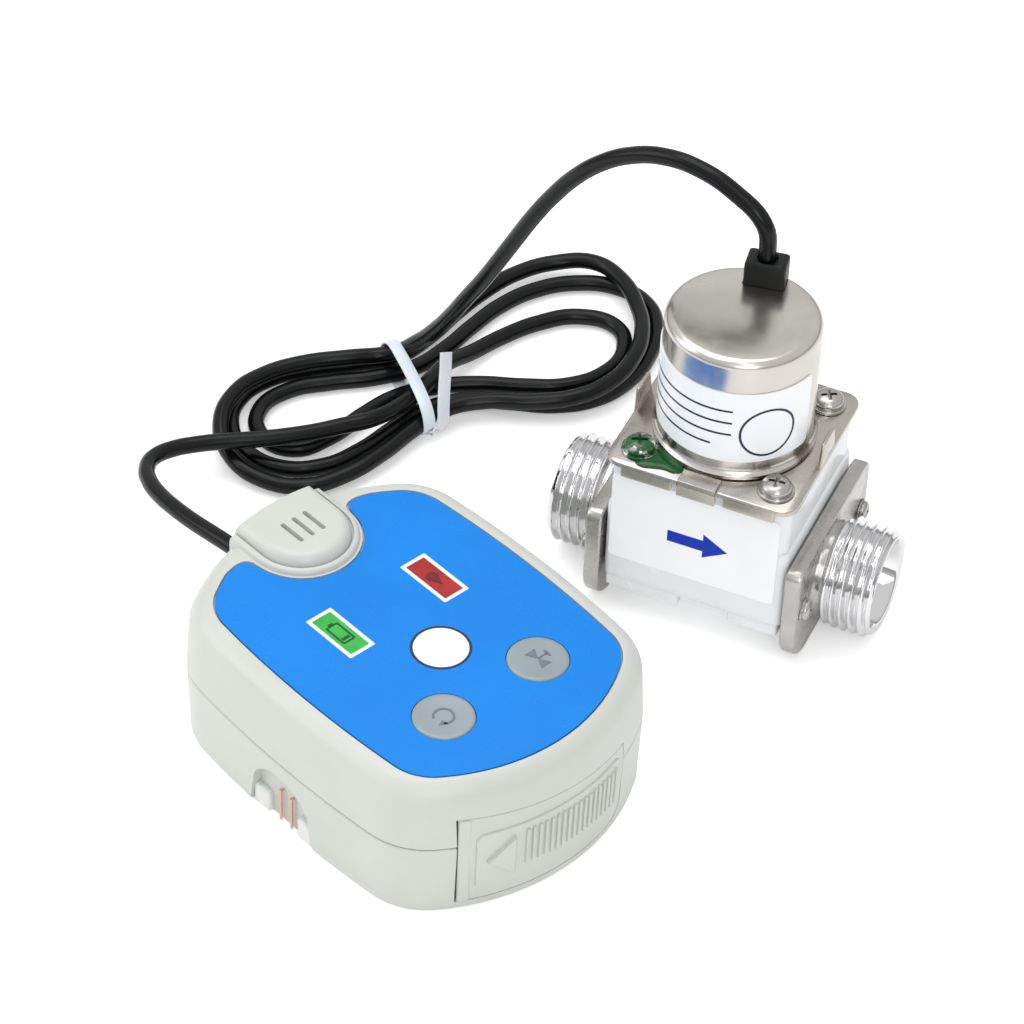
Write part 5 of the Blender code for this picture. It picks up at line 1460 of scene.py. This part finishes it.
@dataclass
class Valve:
    """The solenoid shut-off valve: moulded body, threaded end fittings, plate, can and labels."""

    look: Finishes
    axis: float = 10.48
    half: float = 16.9
    pitch: float = 1.814
    root: float = 9.35
    crest: float = 10.45
    plate_low: float = 34.99
    plate_top: float = 36.19
    can_radius: float = 13.98
    can_top: float = 62.2
    shoulder: float = 1.7
    bush_at: Pair = (-0.1, 10.5)
    bush_turn: float = 9.0
    splash: tuple[Pair, ...] = (
        (-11.8, -16.6), (-12.0, -14.7), (-11.4, -13.0), (-10.4, -11.6), (-9.4, -10.9), (-8.4, -11.0), (-6.4, -11.9),
        (-4.6, -12.9), (-4.4, -14.2), (-4.3, -15.6), (-5.4, -16.3), (-7.2, -16.2), (-8.9, -16.7), (-10.4, -17.1),
    )  # fmt: skip

    def along(self, work: Work, turn: float = 0.0) -> Work:
        """Lays a piece that was made about Z along the flow.

        Args:
            work: the piece.
            turn: 0 for the outlet, 180 for the inlet, in degrees.

        Returns:
            The piece.
        """
        work.shift((0.0, 0.0, 0.0), 90.0, "Y")
        return work.shift((0.0, 0.0, self.axis), turn)

    def body(self) -> None:
        """Builds the moulded body: block, base, hull, feet, chamber and bores."""
        half = self.half
        rings = [(0.25, 8.6), (0.0, 8.9), (0.0, 34.3), (0.08, 34.52), (0.3, 34.69)]
        body = Work.stack("valve_body", [lift(rounded(half - i, half - i, 2.6 - i), z) for i, z in rings])
        base = [(0.3, 8.0), (0.0, 8.3), (0.0, 23.9), (0.15, 24.6), (0.38, 25.0)]
        body.fuse(Work.stack("base", [lift(rounded(17.3 - i, 16.85 - i, 1.6 - i, 5), z) for i, z in base]))
        body.fuse(self.along(Work.rod("hull", 10.2, -17.25, 17.25, 96)))
        for low_u, high_u in ((-16.6, -2.5), (7.0, 16.6)):
            for low_v, high_v in ((-16.7, -12.9), (12.9, 16.7)):
                middle = (0.5 * (low_u + high_u), 0.5 * (low_v + high_v))
                foot = slab("foot", rounded(0.5 * (high_u - low_u), 1.9, 0.5, 3, middle), 5.8, 9.5)
                body.fuse(foot)
        body.cut(Work.rod("chamber", 13.5, 27.7, 40.0, 64))
        body.cut(Work.rod("seat_bore", 4.2, 11.8, 30.0, 32))
        body.cut(self.along(Work.rod("outlet_bore", 6.6, -2.0, 20.0, 48)))
        body.cut(self.along(Work.rod("inlet_bore", 6.6, -20.0, -6.0, 48)))
        body.finish(self.look.body, Bench.VALVE, nodes=["valve_body"], slot="valve_plastic", smooth=30.0)
        low = slab("valve_foot_lip", rounded(16.75, 16.95, 0.8, 4), 8.05, 8.35)
        low.finish(self.look.body, Bench.VALVE, slot="valve_plastic")

    def thread_place(self, place: Vector) -> Triple:
        """Gives the helix of the thread.

        Args:
            place: a point of the plain stub, in mm.

        Returns:
            Its place on the thread.
        """
        radius = math.hypot(place.x, place.y)
        if radius < 9.0 or place.z < 21.0 or place.z > 31.39:
            return tuple(place)
        angle = math.atan2(place.y, place.x)
        phase = (place.z / self.pitch - angle / (2.0 * math.pi)) % 1.0
        wave = 1.0 - abs(2.0 * phase - 1.0)
        wave = 0.45 * wave + 0.55 * wave * wave * (3.0 - 2.0 * wave)
        wave *= min(1.0, max(0.0, (place.z - 21.4) / 1.5))
        reach = self.root + (self.crest - self.root) * wave
        reach = min(reach, self.root - 0.1 + (31.4 - place.z) * 1.1)
        return (reach * place.x / radius, reach * place.y / radius, place.z)

    def fitting(self, name: str, turn: float) -> None:
        """Builds an end fitting: flange and helical G1/2 thread.

        Args:
            name: the node it stands for.
            turn: 0 for the outlet, 180 for the inlet.
        """
        rows = 84
        profile = [(8.0, 17.7), (9.35, 17.7), (9.35, 20.4)]
        profile += [(self.root, 20.8 + 10.6 * step / rows) for step in range(rows + 1)]
        profile += [(8.75, 31.4), (8.0, 30.7)]
        stub = Work.spun(f"{name}_thread", profile, 96)
        stub.bend(self.thread_place)
        self.along(stub, turn)
        stub.finish(self.look.chrome, Bench.VALVE, nodes=[name], slot="chrome", smooth=50.0)
        rings = []
        for inset, along in ((0.35, 17.62), (0.0, 17.9), (0.0, 20.15), (0.12, 20.42), (0.45, 20.6)):
            outline = []
            for centre_x, centre_y, radius, first in (
                (-9.92, 16.0, 2.0, 90.0),
                (-9.92, -16.0, 2.0, 180.0),
                (3.28, -11.0, 7.0, 270.0),
                (3.28, 11.0, 7.0, 0.0),
            ):
                for step in range(11):
                    angle = math.radians(first + 9.0 * step)
                    reach = radius - inset
                    outline.append(
                        (centre_x + reach * math.cos(angle), centre_y + reach * math.sin(angle), along)
                    )
            rings.append(outline)
        flange = Work.stack(f"{name}_flange", rings)
        flange.cut(Work.rod("bore", 8.0, 10.0, 30.0, 64))
        self.along(flange, turn)
        flange.finish(self.look.cast, Bench.VALVE, nodes=[name], slot="chrome", smooth=35.0)

    def screw(self, name: str, radius: float, height: float, washer: float) -> Work:
        """Makes a pan-head cross screw, its head standing on Z = 0.

        Args:
            name: its name.
            radius: the head's radius, in mm.
            height: the head's height, in mm.
            washer: the height of the washer under the head, in mm.

        Returns:
            The screw.
        """
        profile = [
            (0.0, -2.0), (0.4 * radius, -2.0), (0.4 * radius, 0.0), (radius, 0.0), (radius, 0.8 * washer),
        ]
        profile += [(0.97 * radius, washer), (0.84 * radius, washer), (0.86 * radius, washer + 0.12 * height)]
        for step in range(7):
            angle = math.radians(12.0 + 78.0 * step / 6)
            rise = washer + 0.2 * height + (height - washer - 0.2 * height) * math.sin(angle)
            profile.append((0.86 * radius * math.cos(angle) ** 0.7 if step < 6 else 0.0, rise))
        head = Work.spun(name, profile, 48)
        for turn in (0.0, 90.0):
            arm = Work.block(
                "arm", (-0.6 * radius, -0.12 * radius, 0.5 * height),
                (0.6 * radius, 0.12 * radius, 1.4 * height),
            )
            arm.faces(lambda centre, normal: normal.z < -0.5).scale((0.5, 0.7, 1.0), (0.0, 0.0, 0.5 * height))
            head.cut(arm.shift((0.0, 0.0, 0.0), turn))
        return head

    def flange_screws(self) -> None:
        """Builds the four screws of the flanges."""
        first = self.screw("flange_screw", 2.2, 1.5, 0.3)
        number = 0
        for turn in (0.0, 180.0):
            for across in (-14.7, 14.7):
                number += 1
                screw = first.copy(f"flange_screw_{number}")
                screw.shift((0.0, 0.0, 20.65), 20.0 * number).shift((0.0, 0.0, 0.0), 90.0, "Y")
                screw.shift((0.0, 0.0, 12.4), turn).shift((0.0, across, 0.0))
                screw.finish(self.look.cast, Bench.VALVE, nodes=[f"flange_screw_{number}"], slot="stainless")
        bpy.data.objects.remove(first.obj, do_unlink=True)

    def cover_screws(self) -> None:
        """Builds the four screws of the cover plate, one of them with lacquer on it."""
        first = self.screw("cover_screw", 3.3, 2.4, 0.55)
        places = ((-12.95, -13.05, 20.0), (-12.95, 13.05, 55.0), (12.95, -13.05, 8.0), (12.95, 13.05, 30.0))
        for number, (u, v, turn) in enumerate(places, 1):
            screw = first.copy(f"cover_screw_{number}").shift((u, v, 36.3), turn)
            look = self.look.daubed if number == 1 else self.look.cast
            screw.finish(look, Bench.VALVE, nodes=[f"cover_screw_{number}"], slot="stainless")
        bpy.data.objects.remove(first.obj, do_unlink=True)

    def cover_plate(self) -> None:
        """Builds the pressed plate with its lips, clips and bent-up tabs."""
        rings = [(0.3, 34.99), (0.05, 35.15), (0.0, 35.4), (0.0, 35.8), (0.12, 36.04), (0.4, 36.19)]
        plate = Work.stack("cover_plate", [lift(rounded(18.0 - i, 18.0 - i, 3.2 - i), z) for i, z in rings])
        plate.cut(Work.rod("core_hole", 4.7, 33.0, 40.0, 48))
        parts = []
        for sign in (-1, 1):
            for low, high in ((-14.5, -4.9), (4.9, 14.5)):
                edges = sorted((17.2 * sign, 18.0 * sign))
                parts.append(Work.block("lip", (low, edges[0], 33.1), (high, edges[1], 35.9)).soften(0.3, 3))
            edges = sorted((18.75 * sign, 15.2 * sign))
            clip = Work.block("clip", (-3.6, edges[0], 35.95), (3.6, edges[1], 36.95))
            edges = sorted((18.75 * sign, 17.95 * sign))
            clip.fuse(Work.block("drop", (-3.6, edges[0], 33.5), (3.6, edges[1], 36.5)))
            parts.append(clip.soften(0.32, 3))
            edges = sorted((17.25 * sign, 17.95 * sign))
            tab = Work.block("tab", (edges[0], -3.8, 35.9), (edges[1], 3.4, 41.1))
            tab.faces(lambda centre, normal: normal.z > 0.5).scale((1.0, 0.72, 1.0), (0.0, -1.6, 41.1))
            parts.append(tab.soften(0.25, 3))
        plate.gather(parts)
        plate.finish(self.look.steel, Bench.VALVE, nodes=["cover_plate"], slot="stainless")

    def can(self) -> None:
        """Builds the drawn can with its rolled shoulder, foot flare and bushing notch."""
        radius, top = self.can_radius, self.can_top
        profile = [(0.0, top - 0.12), (6.0, top - 0.1), (10.6, top)]
        for step in range(13):
            angle = math.radians(90.0 - 90.0 * step / 12)
            across = radius - self.shoulder * (1.0 - math.cos(angle))
            profile.append((across, top - self.shoulder * (1.0 - math.sin(angle))))
        profile += [
            (13.9, 56.9), (13.98, 56.6), (13.98, 38.5), (14.1, 37.9), (14.45, 37.45), (14.8, 37.2),
            (14.8, 36.6), (14.7, 36.49),
        ]
        profile += [(13.18, 36.49), (13.18, 60.4), (12.3, 61.3), (0.0, 61.3)]
        can = Work.spun("solenoid_can", profile, 128)
        can.cut(slab("notch", rounded(3.8, 2.55, 0.5, 3), 59.6, 64.0).shift((*self.bush_at, 0.0), self.bush_turn))
        can.finish(self.look.can, Bench.VALVE, nodes=["solenoid_can"], slot="stainless", smooth=28.0)

    def strain_relief(self) -> None:
        """Builds the black bushing."""
        rings = [(0.0, 57.2), (0.0, 66.4), (0.1, 66.75), (0.4, 67.05), (0.75, 67.15)]
        bush = Work.stack("strain_relief", [lift(rounded(3.7 - i, 2.45 - i, 0.45, 4), z) for i, z in rings])
        bush.cut(Work.rod("mouth", 1.85, 66.3, 68.0, 32))
        bush.shift((*self.bush_at, 0.0), self.bush_turn)
        bush.soften(0.12)
        bush.finish(self.look.black, Bench.VALVE, nodes=["strain_relief"], slot="black_plastic")

    def can_label(self) -> None:
        """Builds the printed sleeve of the can with its blank fields."""
        outline = rounded(22.0, 7.7, 1.1, 4, (0.0, 47.9))
        flat = Work.stack("can_label", [[(x, y, z) for x, z in outline] for y in (14.02, 14.27)])
        lines = []
        for height, start, stop in (
            (51.4, -14.0, 6.0), (48.8, -14.0, 6.0), (46.2, -14.0, 6.0), (43.6, -14.0, 2.4),
        ):
            lines.append(Work.block("can_label_lines", (start, 14.22, height), (stop, 14.31, height + 0.4)))
        ring = Work.stack("ring", [self.label_ring(5.3, y) for y in (14.22, 14.31)])
        ring.cut(Work.stack("hole", [self.label_ring(4.85, y) for y in (13.0, 15.0)]))
        lines[0].gather([*lines[1:], ring])
        for work, look in ((flat, self.look.paper), (lines[0], self.look.print_dark)):
            work.slice([float(place) for place in range(-21, 22)], (1.0, 0.0, 0.0))
            work.bend(lambda place: self.round_can(place))
            work.outward()
            nodes = ["can_label"] if work is flat else []
            work.finish(look, Bench.VALVE, nodes=nodes, slot="label_white", smooth=40.0)

    def label_ring(self, radius: float, depth: float) -> list[Triple]:
        """Draws the round blank field of the can's label, at a depth."""
        turns = [math.radians(7.5 * step) for step in range(48)]
        return [(12.6 + radius * math.cos(a), depth, 46.6 + radius * math.sin(a)) for a in turns]

    def round_can(self, place: Vector) -> Triple:
        """Wraps a flat place onto the can."""
        angle = math.radians(-98.0) + place.x / 14.16
        return (place.y * math.cos(angle), place.y * math.sin(angle), place.z)

    def flow_label(self) -> None:
        """Builds the sticker on the front and its arrow."""
        outline = rounded(15.9, 9.75, 1.0, 6, (-0.3, 23.0))
        rings = [[(u, v, z) for u, z in outline] for v in (-16.85, -17.04)]
        sticker = Work.stack("flow_label", rings)
        sticker.finish(self.look.paper, Bench.VALVE, nodes=["flow_label"], slot="label_white")
        arrow = [(-5.2, 20.8), (1.6, 20.8), (1.6, 19.3), (6.3, 22.05), (1.6, 24.8), (1.6, 23.3), (-5.2, 23.3)]
        print_ = Work.stack("flow_arrow", [[(u, v, z) for u, z in arrow] for v in (-17.0, -17.08)])
        print_.finish(self.look.ink_blue, Bench.VALVE, slot="label_white")

    def lacquer(self) -> None:
        """Builds the dried lacquer between the first screw and the can."""
        fine = []
        count = len(self.splash)
        for index in range(count):
            a, b, c, d = (Vector(self.splash[(index + step) % count]) for step in (-1, 0, 1, 2))
            for step in range(4):
                t = step / 4
                fine.append(between(a, b, c, d, t))
        middle = sum(fine, Vector((0.0, 0.0))) / len(fine)
        rings = []
        for share, height in (
            (1.12, 36.1), (1.1, 36.3), (1.03, 36.5), (0.88, 36.66), (0.6, 36.76), (0.25, 36.78),
        ):
            rings.append([(*(middle + (point - middle) * share), height) for point in fine])
        blob = Work.stack("thread_lacquer", rings)
        blob.finish(self.look.lacquer, Bench.VALVE, slot="stainless", smooth=60.0)

    def inside(self) -> None:
        """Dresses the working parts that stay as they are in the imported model."""
        look = self.look
        for name in ("inlet_seal", "outlet_seal", "diaphragm"):
            dress(name, look.rubber)
        dress("coil_bobbin", look.body)
        dress("coil_winding", look.winding)
        for name in ("core_tube", "plunger", "plunger_spring"):
            dress(name, look.steel)

    def build(self) -> None:
        """Builds the whole valve."""
        self.body()
        self.fitting("inlet_fitting", 180.0)
        self.fitting("outlet_fitting", 0.0)
        self.flange_screws()
        self.cover_plate()
        self.cover_screws()
        self.can()
        self.strain_relief()
        self.can_label()
        self.flow_label()
        self.lacquer()
        self.inside()


# Tie


@dataclass
class Tie:
    """The flat ribbon round the waist of the hank, its free end turned back up."""

    look: Finishes
    half_width: float = 1.25
    thick: float = 0.5
    route: tuple[Triple, ...] = (
        (-43.9, 60.2, 15.6),
        (-43.3, 58.7, 12.6),
        (-42.7, 57.0, 9.6),
        (-42.1, 55.5, 6.6),
        (-41.7, 54.4, 3.9),
        (-42.4, 53.2, 2.4),
        (-43.6, 52.9, 2.0),
    )

    def build(self) -> bpy.types.Object:
        """Builds the ribbon.

        Returns:
            The finished ribbon.
        """
        centre = Vector((-50.1, 66.1))
        along = Vector((math.cos(math.radians(52.0)), math.sin(math.radians(52.0))))
        across = Vector((-along.y, along.x))
        section = (
            (-13.3, 2.0), (-13.9, 3.4), (-13.4, 5.2), (-12.1, 6.5), (-10.3, 7.3), (-6.5, 7.9), (-2.0, 8.1), (2.5, 8.1),
            (6.5, 7.8), (9.3, 6.2), (11.0, 3.9), (11.3, 1.9), (10.2, 0.5), (6.0, 0.36), (0.0, 0.36), (-8.0, 0.36), (-12.4, 0.6),
        )  # fmt: skip
        points = [Vector(point) for point in self.route]
        for y, z in section:
            place = centre + along * (-4.5 + 0.135 * (y - 4.0)) + across * y
            points.append(Vector((place.x, place.y, z)))
        smooth = []
        for index in range(len(points) - 1):
            a, b, c, d = (points[min(max(index + step, 0), len(points) - 1)] for step in (-1, 0, 1, 2))
            for step in range(4):
                t = step / 4
                smooth.append(between(a, b, c, d, t))
        smooth.append(points[-1])
        rings = []
        side = Vector((along.x, along.y, 0.0))
        for index, place in enumerate(smooth):
            ahead = (smooth[min(index + 1, len(smooth) - 1)] - smooth[max(index - 1, 0)]).normalized()
            wide = (side - ahead * side.dot(ahead)).normalized()
            out = wide.cross(ahead)
            ring = []
            for x, y in rounded(self.half_width, 0.5 * self.thick, 0.2, 2):
                ring.append(tuple(place + wide * x + out * y))
            rings.append(ring)
        ribbon = Work.stack("cable_tie", rings)
        return ribbon.finish(self.look.tie, Bench.SHARED, nodes=["cable_tie"], slot="tie_white", smooth=50.0)


# Studio


@dataclass
class Studio:
    """The pale floor, the soft lights and the camera."""

    look: Finishes
    camera_at: Triple = (195.696, -488.512, 513.17)
    azimuth: float = 22.28
    elevation: float = 41.92
    roll: float = 2.31
    lens: float = 144.49
    floor_glow: float = 0.11
    floor_white: float = 0.33

    def camera(self) -> None:
        """Sets up the camera."""
        a, e, r = (math.radians(angle) for angle in (self.azimuth, self.elevation, self.roll))
        right = Vector((math.cos(a), math.sin(a), 0.0))
        ahead = -Vector((math.sin(a) * math.cos(e), -math.cos(a) * math.cos(e), math.sin(e)))
        above = right.cross(ahead)
        x = right * math.cos(r) + above * math.sin(r)
        y = -right * math.sin(r) + above * math.cos(r)
        data = bpy.data.cameras.new("camera")
        data.lens = self.lens
        data.sensor_width = 36.0
        data.clip_end = 20.0
        camera = bpy.data.objects.new("camera", data)
        bpy.context.scene.collection.objects.link(camera)
        matrix = Matrix((x, y, -ahead)).transposed().to_4x4()
        matrix.translation = Vector(self.camera_at) * MM
        camera.matrix_world = matrix
        bpy.context.scene.camera = camera

    def light(
        self, name: str, place: Triple, size: Pair, power: float, colour: Triple = (1.0, 1.0, 1.0),
    ) -> None:
        """Adds a soft box that looks at the object.

        Args:
            name: its name.
            place: in metres.
            size: its width and height, in metres.
            power: in watts.
            colour: its colour.
        """
        data = bpy.data.lights.new(name, "AREA")
        data.shape = "RECTANGLE"
        data.size, data.size_y = size
        data.energy = power
        data.color = colour
        lamp = bpy.data.objects.new(name, data)
        bpy.context.scene.collection.objects.link(lamp)
        lamp.location = place
        aim = Vector((0.0, 0.0, 0.03)) - Vector(place)
        lamp.rotation_euler = aim.to_track_quat("-Z", "Y").to_euler()

    def build(self) -> None:
        """Sets the stage."""
        leave_edit()
        bpy.ops.mesh.primitive_grid_add(
            x_subdivisions=8, y_subdivisions=8, size=8.0, location=(0.0, 0.0, 0.0),
        )
        floor = Work("floor")
        floor.obj.data.materials.append(self.look.floor)
        tree = self.look.floor.node_tree
        shader = tree.nodes["Principled BSDF"]
        shader.inputs["Emission Color"].default_value = (1.0, 1.0, 1.0, 1.0)
        glow = tree.nodes.new("ShaderNodeMapRange")
        glow.inputs["To Min"].default_value = self.floor_glow
        glow.inputs["To Max"].default_value = self.floor_white
        tree.links.new(tree.nodes.new("ShaderNodeLightPath").outputs["Is Camera Ray"], glow.inputs["Value"])
        tree.links.new(glow.outputs["Result"], shader.inputs["Emission Strength"])
        world = bpy.data.worlds.new("studio")
        world.use_nodes = True
        nodes, links = world.node_tree.nodes, world.node_tree.links
        split = nodes.new("ShaderNodeSeparateXYZ")
        links.new(nodes.new("ShaderNodeTexCoord").outputs["Generated"], split.inputs["Vector"])
        sky = nodes.new("ShaderNodeValToRGB")
        for place, level in ((0.0, 0.42), (0.1, 0.5), (0.32, 0.95), (1.0, 1.0)):
            stop = sky.color_ramp.elements[0] if place == 0.0 else sky.color_ramp.elements.new(place)
            stop.position = place
            stop.color = (level, level, level, 1.0)
        links.new(split.outputs["Z"], sky.inputs["Fac"])
        links.new(sky.outputs["Color"], nodes["Background"].inputs["Color"])
        nodes["Background"].inputs["Strength"].default_value = 0.8
        bpy.context.scene.world = world
        self.light("top_box", (-0.25, 0.15, 1.0), (0.9, 0.7), 4.0)
        self.light("left_box", (-0.9, -0.35, 0.55), (0.5, 0.7), 2.0)
        self.light("front_box", (0.55, -0.95, 0.6), (0.5, 0.5), 2.4)
        self.light("strip_box", (0.35, -0.5, 0.95), (0.06, 0.9), 0.9)
        bpy.context.scene.view_settings.view_transform = "Standard"
        self.camera()


def main() -> None:
    """Builds every piece in order."""
    logging.basicConfig(level=logging.INFO, format="%(name)s %(message)s")
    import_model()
    look = Finishes()
    Studio(look).build()
    cable = Cable(look)
    lead = cable.build()
    tie = Tie(look).build()
    Sensor(look).build()
    Valve(look).build()
    leave_edit()


if __name__ == "__main__":
    main()
